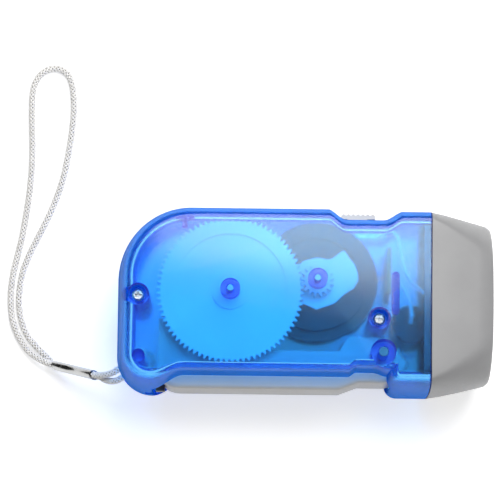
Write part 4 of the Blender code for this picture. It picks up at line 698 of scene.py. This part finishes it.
def shell_body(name, side, finish, inner_finish):
    """One half of the case: side is 1 for the front half and -1 for the back half."""
    half = PARTING_Z - FIT_GAP / 2
    base = PARTING_Z + side * FIT_GAP / 2
    shell = loft(name, shell_rings(base, side * half, 0.0, JOINT_X), finish)
    hollow = shell_rings(base, side * (half - CASE_WALL), CASE_WALL, JOINT_X + OVERRUN)
    mouth = [(x, y, base - side * OVERRUN) for x, y, _ in hollow[0]]
    cut(shell, loft(name + "_hollow", [mouth] + hollow, inner_finish))
    return shell


def cut_case_openings(shell):
    """The lever's slot, the switch's slot and the strap's hole, each shared by the two halves."""
    below = LOW_Y - OVERRUN
    far_left = LEVER_TIP_X - LEVER_WALL - LEVER_SLOT_GAP * 2
    slot_top = ARCH_Y + CASE_WALL + OVERRUN
    knuckle_end = PIVOT[0] + KNUCKLE_RADIUS + RUN_GAP
    lever_range = span(PARTING_Z, LEVER_WIDTH / 2 + LEVER_SLOT_GAP)
    stem_left, stem_right = span(KNOB_STEM_X, KNOB_STEM / 2 + RUN_GAP)
    slots = (
        ((far_left, LOBE_X + OVERRUN), (below, slot_top), lever_range),
        ((LOBE_X, knuckle_end), (LOW_Y + CASE_WALL, slot_top), lever_range),
        (
            (far_left - BOLT_TRAVEL, far_left + OVERRUN),
            (below, LEVER_FLOOR_Y + OVERRUN),
            span(PARTING_Z, BOLT_TAB_WIDTH / 2 + RUN_GAP),
        ),
        (
            (stem_left, stem_right + KNOB_TRAVEL),
            (SWITCH_FLOOR_Y - CASE_WALL - OVERRUN, TOP_Y + OVERRUN),
            span(PARTING_Z, KNOB_STEM / 2 + RUN_GAP),
        ),
    )
    for number, slot in enumerate(slots):
        cut(shell, block(f"slot_{number}", *slot))
    near, far = LOW_CORNER_RADIUS - CASE_WALL * 3, LOW_CORNER_RADIUS + OVERRUN
    half = STRAP_HOLE_HEIGHT / 2
    centre = (LEFT_X + LOW_CORNER_RADIUS, LOW_Y + LOW_CORNER_RADIUS)
    x, y = math.cos(STRAP_HOLE_DIRECTION), math.sin(STRAP_HOLE_DIRECTION)
    outline = [
        (centre[0] + reach * x - aside * y, centre[1] + reach * y + aside * x)
        for reach, aside in ((near, -half), (far, -half), (far, half), (near, half))
    ]
    cut(shell, prism("strap_hole", outline, *span(PARTING_Z, STRAP_HOLE_WIDTH / 2)))


def add_posts(shell, posts, face, end, finish):
    """Fuses posts of (centre, radius, height) to a shell, and those of the screws and strap."""
    posts = (
        *posts,
        (LEFT_SCREW, SCREW_POST_RADIUS, end),
        (RIGHT_SCREW, SCREW_POST_RADIUS, end),
        (STRAP_POST, STRAP_POST_RADIUS, end),
    )
    for number, (centre, radius, height) in enumerate(posts):
        low, high = sorted((height, face))
        fuse(shell, cylinder(f"post_{number}", centre, radius, low, high, finish))


def bore_posts(shell, posts, side, bottom, *screw_range):
    """Bores the sockets of the two axles and the lever's pin, and the holes for the screws."""
    holes = [(centre, SCREW_HOLE, *screw_range) for centre in (LEFT_SCREW, RIGHT_SCREW)]
    for (centre, _, height), hole in zip(posts, (AXLE_HOLE, AXLE_HOLE, PIN_HOLE)):
        holes.append((centre, hole, *sorted((height - side * OVERRUN, bottom))))
    for hole in holes:
        cut(shell, cylinder("bore", *hole, steps=SMALL_STEPS))


def front_shell():
    shell = shell_body("front_shell", 1, finishes["outside"], finishes["inside"])
    face = CASE_THICKNESS - CASE_WALL / 2
    base = PARTING_Z + FIT_GAP / 2
    posts = (
        (GEAR_AXIS, AXLE_BOSS_RADIUS, GEAR_TOP_Z + RUN_GAP),
        (FLYWHEEL_AXIS, AXLE_BOSS_RADIUS, CLUTCH_TOP_Z + RUN_GAP),
        (PIVOT, LEVER_BOSS_RADIUS, LEVER_HIGH_Z + RUN_GAP),
    )
    add_posts(shell, posts, face, base, finishes["post"])
    fuse(shell, *front_ribs(face))
    cut_case_openings(shell)
    bore_posts(shell, posts, 1, CASE_THICKNESS - AXLE_SOCKET_WALL, base - OVERRUN, face)
    top = CASE_THICKNESS + OVERRUN
    for centre in (LEFT_SCREW, RIGHT_SCREW):
        cut(shell, cylinder("screw_recess", centre, SCREW_RECESS_RADIUS, SCREW_HEAD_Z, top))
    return shell


def front_ribs(face):
    """The upright rib between lamp leads and battery, and the T-shaped stiffener top left."""
    low, high = span(RIB_Y, RIB_LENGTH / 2)
    outline = arc((RIB_X, low), RIB_WIDTH / 2, math.pi, 2 * math.pi, RAMP_STEPS)
    outline += arc((RIB_X, high), RIB_WIDTH / 2, 0.0, math.pi, RAMP_STEPS)
    x, y = T_RIB
    width = T_RIB_WIDTH / 2
    z_range = (face - RIB_HEIGHT, face)
    blue = finishes["rib"]
    return (
        prism("front_rib", outline, *z_range, blue),
        block("t_rib_bar", span(x, T_RIB_LENGTH / 2), span(y, width), z_range, blue),
        block("t_rib_stem", span(x, width), (y - T_RIB_STEM, y), z_range, blue),
    )


def back_shell():
    shell = shell_body("back_shell", -1, finishes["behind"], finishes["back"])
    face = CASE_WALL / 2
    top = PARTING_Z - FIT_GAP / 2
    posts = (
        (GEAR_AXIS, AXLE_BOSS_RADIUS, HORN_BOTTOM_Z - RUN_GAP * 2),
        (FLYWHEEL_AXIS, STATOR_POST_RADIUS, FLYWHEEL_BOTTOM_Z + RUN_GAP - FIT_GAP),
        (PIVOT, LEVER_BOSS_RADIUS, LEVER_LOW_Z - RUN_GAP),
    )
    add_posts(shell, posts, face, top, finishes["inside"])
    fuse(shell, battery_cradle(face), *board_ribs(face))
    cut_case_openings(shell)
    screw_low = SCREW_HEAD_Z - SCREW_LENGTH - OVERRUN
    bore_posts(shell, posts, -1, CASE_WALL, screw_low, top + OVERRUN)
    return shell


def battery_cradle(face):
    """A pedestal and a ring wall for the foot of the battery, open where the lamp end plugs in."""
    inner = BATTERY_RADIUS + FIT_GAP
    outer = inner + CRADLE_WALL
    pedestal = inner - CRADLE_WALL
    high = BATTERY_LOW_Z + CRADLE_HEIGHT
    seat = BATTERY_LOW_Z - FIT_GAP
    profile = [(pedestal, face), (outer, face), (outer, high)]
    profile += [(inner, high), (inner, seat), (pedestal, seat)]
    cradle = turned("battery_cradle", BATTERY_AXIS, profile)
    plug_range = (JOINT_X - HEAD_SPIGOT - FIT_GAP * 2, JOINT_X + BATTERY_RADIUS)
    cut(cradle, block("cradle_end", plug_range, (-CASE_HEIGHT, CASE_HEIGHT), (0.0, high * 2)))
    return cradle


def board_ribs(face):
    """Two low ribs with the main board standing between them."""
    ends = (BOARD_LOW_Y, BOARD_LOW_Y + BOARD_WIDTH), (face, CASE_WALL + BOARD_RIB_HEIGHT)
    left = BOARD_X - FIT_GAP - BOARD_RIB
    right = BOARD_X + BOARD_THICKNESS + FIT_GAP
    return [block("board_rib", (start, start + BOARD_RIB), *ends) for start in (left, right)]


def head_ring(x, half_height, half_thickness, depth, bulge=0.0):
    """A ring of the lamp end, anticlockwise seen from its front.

    The bulge pushes its middle forward.
    """
    quarter = [
        (half_height - edge_inset(share, depth), half_thickness * share) for share in LEVEL_SHARES
    ]
    face = [((half_height - depth) * share, half_thickness) for share in FACE_SHARES]
    upper = quarter + face + [(-y, z) for y, z in reversed(quarter)]
    return [
        (x + bulge * (1 - (y / half_height) ** 2), y - HEAD_DROP, PARTING_Z + z)
        for y, z in upper + [(-y, -z) for y, z in upper[1:-1]]
    ]


def head_size(share):
    """Half height, half thickness and edge depth at a share of the way to the front."""
    rear = (TOP_Y - HEAD_DROP, PARTING_Z, EDGE_ROUND)
    half_height = (CASE_HEIGHT - HEAD_NARROWING) / 2
    front = (half_height, (CASE_THICKNESS - HEAD_THINNING) / 2, HEAD_FRONT_ROUND)
    curve = share**HEAD_TAPER_POWER_SHARE
    return tuple(a + (b - a) * curve for a, b in zip(rear, front))


def drawn_in(size, wall):
    return size[0] - wall, size[1] - wall, size[2]


def head_place(share):
    rear_x = JOINT_X + FIT_GAP
    return rear_x + (FRONT_X - HEAD_BULGE - rear_x) * share


def head_bezel():
    """The grey lamp end: a tapered shell with a spigot that plugs into the case."""
    spigot = drawn_in(head_size(0.0), CASE_WALL + FIT_GAP)
    bore = drawn_in(spigot, HEAD_WALL)
    rings = [head_ring(JOINT_X - HEAD_SPIGOT, *spigot), head_ring(JOINT_X + FIT_GAP, *spigot)]
    for share in HEAD_RING_SHARES:
        rings.append(head_ring(head_place(share), *head_size(share), HEAD_BULGE * share**3))
    for lip in (HEAD_LIP / 2, HEAD_LIP):
        rings.append(head_ring(head_place(1.0), *drawn_in(head_size(1.0), lip), HEAD_BULGE))
    for share in reversed(HEAD_RING_SHARES):
        size = drawn_in(head_size(share), HEAD_WALL)
        inner = (min(size[0], bore[0]), min(size[1], bore[1]), size[2])
        rings.append(head_ring(head_place(share), *inner, HEAD_BULGE * share**3))
    rings.append(head_ring(JOINT_X - HEAD_SPIGOT, *bore))
    return loft("head_bezel", rings, finishes["grey_satin_plastic"], "joined")


def lens():
    """The clear front window, bowed like the rim round it."""
    size = drawn_in(head_size(1.0), HEAD_WALL + FIT_GAP)
    front_x = head_place(1.0) - LENS_SETBACK
    rings = [
        head_ring(front_x - LENS_THICKNESS, *size, HEAD_BULGE),
        head_ring(front_x - FIT_GAP, *size, HEAD_BULGE),
        head_ring(front_x, *drawn_in(size, FIT_GAP), HEAD_BULGE),
    ]
    return loft("lens", rings, finishes["clear_lens_plastic"])


def involute_point(base_radius, radius):
    """The roll angle from a tooth's base to a radius on its flank."""
    ratio = math.sqrt(max((radius / base_radius) ** 2 - 1, 0.0))
    return ratio - math.atan(ratio)


def tooth_half_angle(radius):
    """Half the angle that a tooth of the horn fills at a radius."""
    base = HORN_RADIUS * math.cos(PRESSURE_ANGLE)
    at_pitch = math.pi / (2 * HORN_TEETH_IN_CIRCLE) - BACKLASH / (2 * HORN_RADIUS)
    rolled = involute_point(base, HORN_RADIUS) - involute_point(base, max(radius, base))
    return at_pitch + rolled


def tooth_points(angle):
    """One tooth of the horn, from the root before it to the root after it."""
    tip = HORN_RADIUS + TOOTH_TIP_SHARE * HORN_MODULE
    radii = [HORN_ROOT + (tip - HORN_ROOT) * share for share in TOOTH_FLANK_SHARES]
    points = [place_round(PIVOT, r, angle - tooth_half_angle(r)) for r in radii]
    return points + [place_round(PIVOT, r, angle + tooth_half_angle(r)) for r in reversed(radii)]


def lever_low_path(rise):
    """The lever's underside from its tip to its knuckle, drawn in by a rise."""
    bottom = LEVER_BOTTOM_Y + rise
    x, y = LEVER_TIP_X + rise + LEVER_TIP_REACH, bottom + LEVER_TIP_HEIGHT
    quarter = arc((0.0, 0.0), 1.0, math.pi, 3 * math.pi / 2, RAMP_STEPS)
    points = [(x + LEVER_TIP_REACH * c, y + LEVER_TIP_HEIGHT * s) for c, s in quarter]
    knuckle = KNUCKLE_RADIUS - rise
    points.append((RECESS_RIGHT_END - ARCH_RAMP, bottom))
    points.append((RECESS_RIGHT_END + LEVER_NECK, PIVOT[1] - knuckle))
    points += arc(PIVOT, knuckle, KNUCKLE_FROM, KNUCKLE_TO, RAMP_STEPS)
    return points


def lever_outline(rise):
    """The lever's side walls: the grip, the knuckle and the part that stays inside the case."""
    left = -LEVER_INNER_LEFT
    over_pivot = PIVOT[1] + LEVER_BARREL_RADIUS * 2
    return [
        (left, -LEVER_INNER_TOP),
        (left, RECESS_Y - LEVER_WALL),
        *lever_low_path(rise),
        (PIVOT[0] + LEVER_WALL, over_pivot - LEVER_PIN_RADIUS / 2),
        (PIVOT[0] - LEVER_BARREL_RADIUS, over_pivot),
        (RECESS_RIGHT_END + LEVER_WALL / 2, over_pivot),
        (RECESS_RIGHT_END - LEVER_WALL, -LEVER_DIP_TOP),
        (-RECESS_RIGHT_END, -LEVER_DIP_TOP),
        (left * 3 / 4, -LEVER_INNER_TOP - LEVER_WALL),
    ]


def lever_hollow():
    """What is cut out between the side walls: all that lies above the floor."""
    path = lever_low_path(LEVER_FLOOR)
    left = -LEVER_INNER_LEFT - OVERRUN
    outline = [(left, 0.0), (left, path[0][1]), *path, (path[-1][0], 0.0)]
    return prism("lever_hollow", outline, LEVER_LOW_Z + LEVER_WALL, LEVER_HIGH_Z - LEVER_WALL)


def horn_outline():
    """The curved horn with its toothed rack, about the lever's pivot."""
    inner = HORN_RADIUS - HORN_WIDTH
    foot_y = LEVER_FLOOR_Y - LEVER_FLOOR / 2
    foot = math.pi + math.asin((PIVOT[1] - foot_y) / HORN_RADIUS)
    towards_gear = PIVOT_DIRECTION + math.pi
    pitch_angle = 2 * math.pi / HORN_TEETH_IN_CIRCLE
    first = math.ceil((HORN_TEETH_FROM - towards_gear) / pitch_angle)
    last = math.floor((HORN_TEETH_TO - towards_gear) / pitch_angle)
    points = arc(PIVOT, inner, foot, HORN_TEETH_FROM - pitch_angle)
    for i in range(first, last + 1):
        points += tooth_points(towards_gear + pitch_angle * i)
    return points + arc(PIVOT, HORN_ROOT, HORN_TEETH_TO + pitch_angle, foot)


def drive_lever():
    """The grey squeeze lever: a channel with a barrel on the pin and the toothed horn."""
    edge = [(LEVER_EDGE_ROUND * z, LEVER_EDGE_ROUND * rise) for z, rise in LEVER_EDGE_SHARES]
    levels = [(LEVER_LOW_Z + z, rise) for z, rise in edge]
    levels += [(LEVER_HIGH_Z - z, rise) for z, rise in reversed(edge)]
    rings = [[(x, y, z) for x, y in lever_outline(rise)] for z, rise in levels]
    lever = loft("drive_lever", rings, finishes["lever_satin_plastic"])
    cut(lever, lever_hollow())
    barrel_range = span(PARTING_Z, (LEVER_WIDTH - LEVER_WALL) / 2)
    barrel = cylinder("lever_barrel", PIVOT, LEVER_BARREL_RADIUS, *barrel_range)
    horn = prism("lever_horn", horn_outline(), HORN_BOTTOM_Z, HORN_BOTTOM_Z + HORN_THICKNESS)
    fuse(lever, barrel, horn)
    cut(lever, cylinder("lever_bore", PIVOT, PIN_HOLE, 0.0, CASE_THICKNESS, steps=SMALL_STEPS))
    left = BOLT_LEFT - OVERRUN
    window = (left, BOLT_LEFT + BOLT_LENGTH + RUN_GAP)
    notch = (left, BOLT_LEFT + BOLT_TAB_LENGTH + BOLT_TRAVEL / 4 + RUN_GAP)
    bolt_top = LEVER_FLOOR_Y + BOLT_HEIGHT
    window_range = span(PARTING_Z, BOLT_WIDTH / 2 + RUN_GAP)
    notch_range = span(PARTING_Z, BOLT_TAB_WIDTH / 2 + RUN_GAP)
    cut(
        lever,
        block("bolt_window", window, (LEVER_FLOOR_Y, bolt_top + RUN_GAP * 2), window_range),
        block("tab_notch", notch, (LOW_Y - OVERRUN, bolt_top), notch_range),
    )
    return lever


def screw(name, centre):
    """A cross-head screw: a domed head in the recess and a plain shank."""
    low = SCREW_HEAD_Z + FIT_GAP
    edge = low + SCREW_HEAD_HEIGHT * SCREW_EDGE_SHARE
    dome = low + SCREW_HEAD_HEIGHT
    tip = SCREW_HEAD_Z - SCREW_LENGTH
    rows = [
        (SCREW_SHANK_RADIUS / 2, tip),
        (SCREW_SHANK_RADIUS, tip + SCREW_SHANK_RADIUS),
        (SCREW_SHANK_RADIUS, low),
        (SCREW_HEAD_RADIUS, low),
        (SCREW_HEAD_RADIUS, edge),
        (SCREW_HEAD_RADIUS * SCREW_DOME_SHARE, dome),
    ]
    rings = [[(x, y, z) for x, y in circle(centre, r, SMALL_STEPS)] for r, z in rows]
    made = loft(name, rings, finishes["screw_steel"])
    long, wide = SCREW_CROSS_LENGTH / 2, SCREW_CROSS_WIDTH / 2
    z_range = (dome - SCREW_CROSS_DEPTH, dome + OVERRUN)
    for x_half, y_half in ((long, wide), (wide, long)):
        cut(made, block("cross", span(centre[0], x_half), span(centre[1], y_half), z_range))
    return made


def switch_knob():
    """The ribbed sliding knob in the top recess, with its stem through the case."""
    foot_low = SWITCH_FLOOR_Y + FIT_GAP
    grip_low = foot_low + KNOB_LIFT
    grip_high = grip_low + KNOB_HEIGHT
    across = span(PARTING_Z, KNOB_WIDTH / 2)
    grip_range = (KNOB_LEFT, KNOB_LEFT + KNOB_LENGTH)
    white = finishes["knob_pale_plastic"]
    knob = block("switch_knob", grip_range, (grip_low, grip_high), across, white)
    foot_range = (KNOB_FOOT_LEFT, KNOB_FOOT_LEFT + KNOB_FOOT_LENGTH)
    foot = block("knob_foot", foot_range, (foot_low, grip_high - KNOB_HEIGHT / 2), across)
    half = KNOB_STEM / 2
    stem_range = (SWITCH_BODY_TOP + FIT_GAP, grip_low + KNOB_HEIGHT / 2)
    stem = block("knob_stem", span(KNOB_STEM_X, half), stem_range, span(PARTING_Z, half))
    fuse(knob, foot, stem)
    step = KNOB_LENGTH / KNOB_RIBS
    rib_range = (grip_high - KNOB_HEIGHT / 2, grip_high + KNOB_RIB_HEIGHT)
    rib_across = span(PARTING_Z, KNOB_WIDTH / 2 - KNOB_RIB_HEIGHT)
    for i in range(KNOB_RIBS):
        low = KNOB_LEFT + step * (i + KNOB_RIB_SHARE)
        fuse(knob, block(f"knob_rib_{i}", (low, low + step / 2), rib_range, rib_across))
    return knob


def strap_ferrule():
    """The crimped metal sleeve that joins the strap's two ends."""
    low, high = Vector(FERRULE_LOW), Vector(FERRULE_HIGH)
    along = (high - low).normalized()
    across = along.cross(Vector((0.0, 0.0, 1.0))).normalized()
    up = across.cross(along)
    rings = []
    for share, swell in FERRULE_SWELL_SHARES:
        middle = low.lerp(high, share)
        side, rise = across * FERRULE_HALF_WIDTH, up * FERRULE_HALF_HEIGHT * swell
        rings.append([middle + side * c + rise * s for c, s in unit_circle(SMALL_STEPS)])
    return loft("strap_ferrule", rings, finishes["polished_steel"])


def smooth_route(route, spacing):
    """Points at an even spacing along a smooth curve through the route's points."""
    knots = [Vector(point) for point in route]
    ends = [knots[0] * 2 - knots[1]] + knots + [knots[-1] * 2 - knots[-2]]
    fine = []
    for i in range(1, len(ends) - 2):
        a, b, c, d = ends[i - 1 : i + 3]
        for k in range(ROUTE_STEPS):
            t = k / ROUTE_STEPS
            square = (a * 2 - b * 5 + c * 4 - d) * t**2
            cube = (b * 3 - a - c * 3 + d) * t**3
            fine.append((b * 2 + (c - a) * t + square + cube) / 2)
    fine.append(knots[-1])
    lengths = [0.0]
    for one, other in zip(fine, fine[1:]):
        lengths.append(lengths[-1] + (other - one).length)
    count = max(round(lengths[-1] / spacing), 2)
    points = []
    at = 0
    for i in range(count + 1):
        goal = lengths[-1] * i / count
        while at < len(fine) - 2 and lengths[at + 1] < goal:
            at += 1
        share = (goal - lengths[at]) / (lengths[at + 1] - lengths[at])
        points.append(fine[at].lerp(fine[at + 1], share))
    return points


place_piece(front_shell(), "case_front", "front_shell", "case")
place_piece(back_shell(), "case_back", "back_shell", "case")
lamp_head = place_piece(head_bezel(), "lamp_head", "head_bezel", "case")
place_piece(lens(), "front_window", "lens", "case")
place_piece(drive_lever(), "squeeze_lever", "drive_lever", "lever")
place_piece(switch_knob(), "sliding_knob", "switch_knob", "knob")
place_piece(screw("screw_left", LEFT_SCREW), "screw_left", "case_screw_left", "case")
place_piece(screw("screw_right", RIGHT_SCREW), "screw_right", "case_screw_right", "case")
sleeve_piece = place_piece(strap_ferrule(), "crimped_sleeve", "strap_ferrule", "case")

# The part of the lamp end that plugs into the case gets a darker grey: painted shade where it sits
# inside the case
lamp_head.data.materials.append(finishes["plug_painted_shade_grey"])
for face in lamp_head.data.polygons:
    if face.center.x < JOINT_X:
        face.material_index = 1

# The braided cord

CARRIERS = 4
BRAID_PITCH = 0.0044
CROSSING_STEPS = 6
YARN_THICK_SHARE = 0.075
YARN_WIDE_SHARE = 0.15
YARN_SIDES = 6
CORE_SIDES = 10
CORE_STEP = 4


def braid(name, route, diameter):
    """A round braid on a dark core, painted shade seen between the yarns.

    Its yarns wind both ways along the route, each passing over one and under the next.
    """
    step = BRAID_PITCH / CARRIERS / CROSSING_STEPS
    path = np.array(smooth_route(route, step))
    tangents = np.gradient(path, axis=0)
    tangents /= np.linalg.norm(tangents, axis=1)[:, None]
    normals = [np.cross(tangents[0], (0.0, 0.0, 1.0))]
    for tangent in tangents:
        normal = normals[-1] - tangent * normals[-1].dot(tangent)
        normals.append(normal / np.linalg.norm(normal))
    normals = np.array(normals[1:])
    sides = np.cross(tangents, normals)
    along = np.arange(len(path)) * step
    thick = diameter * YARN_THICK_SHARE
    wide = diameter * YARN_WIDE_SHARE
    middle = diameter / 2 - thick * 2
    corners = unit_circle(YARN_SIDES)
    points, faces, slots = [], [], []
    total = 0

    def add_tube(rings, slot_index):
        nonlocal total
        rows, around = rings.shape[:2]
        points.append(rings.reshape(-1, 3))
        index = np.arange(rows * around).reshape(rows, around) + total
        turned_index = np.roll(index, -1, axis=1)
        corners_of_quads = [index[:-1], turned_index[:-1], turned_index[1:], index[1:]]
        quads = np.stack(corners_of_quads, axis=-1).reshape(-1, 4)
        faces.extend([*quads.tolist(), index[0][::-1].tolist(), index[-1].tolist()])
        slots.extend([slot_index] * (len(quads) + 2))
        total += rows * around

    for way in (1, -1):
        lift = way * thick * np.cos(2 * math.pi * CARRIERS * along / BRAID_PITCH)
        for carrier in range(CARRIERS):
            angle = way * 2 * math.pi * along / BRAID_PITCH + 2 * math.pi * carrier / CARRIERS
            outward = normals * np.cos(angle)[:, None] + sides * np.sin(angle)[:, None]
            centre = path + outward * (middle + lift)[:, None]
            run = np.gradient(centre, axis=0)
            run /= np.linalg.norm(run, axis=1)[:, None]
            across = np.cross(run, outward)
            lines = [centre + across * (wide * c) + outward * (thick * s) for c, s in corners]
            add_tube(np.stack(lines, axis=1), 0)
    # The core's dark yarn_shadow finish is painted shade for the gaps between the yarns
    core = diameter / 2 - thick * 3
    lines = [path + core * (normals * c + sides * s) for c, s in unit_circle(CORE_SIDES)]
    add_tube(np.stack(lines, axis=1)[::CORE_STEP], 1)
    mesh = bpy.data.meshes.new(name)
    mesh.from_pydata(np.concatenate(points).tolist(), [], faces)
    mesh.polygons.foreach_set("material_index", slots)
    mesh.materials.append(yarn_silver)
    mesh.materials.append(finishes["yarn_shadow"])
    mesh.shade_smooth()
    return linked(name, mesh)


for name, node, route, worn in (
    ("wrist_cord", "strap_cord", STRAP_ROUTE, [sleeve_piece]),
    ("wrist_cord_bight", "strap_bight", BIGHT_ROUTE, []),
):
    cord = braid(name, route, STRAP_WIDTH)
    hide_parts(node)
    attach(cord, "case")

# Floor, light and camera

CAMERA_DISTANCE = 0.9
CAMERA_ELEVATION = math.radians(82)
CAMERA_ROLL = 0.0122
FOCAL_PIXELS = 3210.0
PICTURE_SIDE = 500.0
SENSOR_WIDTH = 36.0
CLIP_START = 0.01
CLIP_END = 20.0
AIM_OFFSET = (53.84, 54.2)
WORLD_STRENGTH = 0.28
FLOOR_SIDE = 6.0
FLOOR_GAP = 0.0002
PALE_GREY = 0.86
FLOOR_GLOW = 0.5
BACKDROP_REACH = 2.8
BACKDROP_HEIGHT = 2.0
BACKDROP_GLOW = 0.8
CARD_REACH = 0.7
CARD_LOW = 0.03
CARD_HIGH = 0.8
RING_STEPS = 32

# Name, place, size and strength; both aim at the middle of the table
LIGHTS = (
    ("key_light", (0.12, 0.265, 0.6), 0.4, 3.8),
    ("fill_light", (0.2, -0.4, 0.6), 0.5, 0.9),
)


def staged(name, glow_strength, clear_beneath=False):
    """A pale diffuse finish that also glows evenly to the camera and to gloss and glass."""
    made, tree = plain_material(name)
    grey = (PALE_GREY, PALE_GREY, PALE_GREY, 1.0)
    diffuse = add_node(tree, "BsdfDiffuse", {"Color": grey})
    light_path = add_node(tree, "LightPath").node.outputs
    seen = light_path["Is Camera Ray"]
    for kind in ("Is Glossy Ray", "Is Transmission Ray"):
        seen = math_node(tree, "MAXIMUM", seen, light_path[kind])
    strength = math_node(tree, "MULTIPLY", seen, glow_strength)
    glow = add_node(tree, "Emission", {"Color": WHITE, "Strength": strength})
    shown = add_node(tree, "AddShader", {0: diffuse, 1: glow})
    if clear_beneath:
        beneath = add_node(tree, "NewGeometry", output="Backfacing")
        clear = add_node(tree, "BsdfTransparent")
        shown = mix_shaders(tree, beneath, shown, clear)
    add_node(tree, "OutputMaterial", {"Surface": shown})
    return made


def floor():
    """A pale floor just under the object, see-through from beneath."""
    bpy.ops.mesh.primitive_plane_add(size=FLOOR_SIDE, location=(0.0, 0.0, -FLOOR_GAP))
    plane = bpy.context.active_object
    plane.name = "floor"
    plane.data.materials.append(staged("pale_floor", FLOOR_GLOW, True))


def ring(name, radius, low, high, finish):
    """An upright band right round the table."""
    outline = circle((0.0, 0.0), radius, RING_STEPS)
    made = loft(name, [[(x, y, z) for x, y in outline] for z in (low, high)], finish, "open")
    return made


def area_light(name, place, size, power):
    lamp = bpy.data.lights.new(name, "AREA")
    lamp.size = size
    lamp.energy = power
    obj = linked(name, lamp)
    obj.location = place
    obj.rotation_mode = "QUATERNION"
    obj.rotation_quaternion = (-Vector(place)).to_track_quat("-Z", "Y")


def world():
    """A soft even grey sky."""
    made = bpy.data.worlds.new("soft_grey")
    made.use_nodes = True
    tree = made.node_tree
    tree.nodes.clear()
    sky = add_node(tree, "Background", {"Color": WHITE, "Strength": WORLD_STRENGTH})
    add_node(tree, "OutputWorld", {"Surface": sky})
    scene.world = made


def camera():
    """The camera at the photo's angle, nearly straight above the table."""
    back = Vector((0.0, -math.cos(CAMERA_ELEVATION), math.sin(CAMERA_ELEVATION)))
    plain_up = Vector((0.0, math.sin(CAMERA_ELEVATION), math.cos(CAMERA_ELEVATION)))
    plain_right = Vector((1.0, 0.0, 0.0))
    right = (plain_right + plain_up * CAMERA_ROLL).normalized()
    up = (plain_up - plain_right * CAMERA_ROLL).normalized()
    per_pixel = CAMERA_DISTANCE / FOCAL_PIXELS
    middle = Vector((0.0, 0.0, PARTING_Z))
    aim = middle - right * AIM_OFFSET[0] * per_pixel + up * AIM_OFFSET[1] * per_pixel
    data = bpy.data.cameras.new("camera")
    data.sensor_width = SENSOR_WIDTH
    data.lens = FOCAL_PIXELS / PICTURE_SIDE * SENSOR_WIDTH
    data.clip_start = CLIP_START
    data.clip_end = CLIP_END
    obj = linked("camera", data)
    axes = Matrix((right, up, back)).transposed().to_4x4()
    obj.matrix_world = Matrix.Translation(aim + back * CAMERA_DISTANCE) @ axes
    scene.camera = obj


floor()
ring("backdrop", BACKDROP_REACH, 0.0, BACKDROP_HEIGHT, staged("pale_backdrop", BACKDROP_GLOW))
world()

# Black cards seen only in gloss, which give metal and edges their dark lines
cards = ring("dark_cards", CARD_REACH, CARD_LOW, CARD_HIGH, finishes["black_card"])
for kind in ("camera", "diffuse", "transmission", "shadow", "volume_scatter"):
    setattr(cards, f"visible_{kind}", False)
for light in LIGHTS:
    area_light(*light)
camera()
scene.view_settings.view_transform = "Standard"
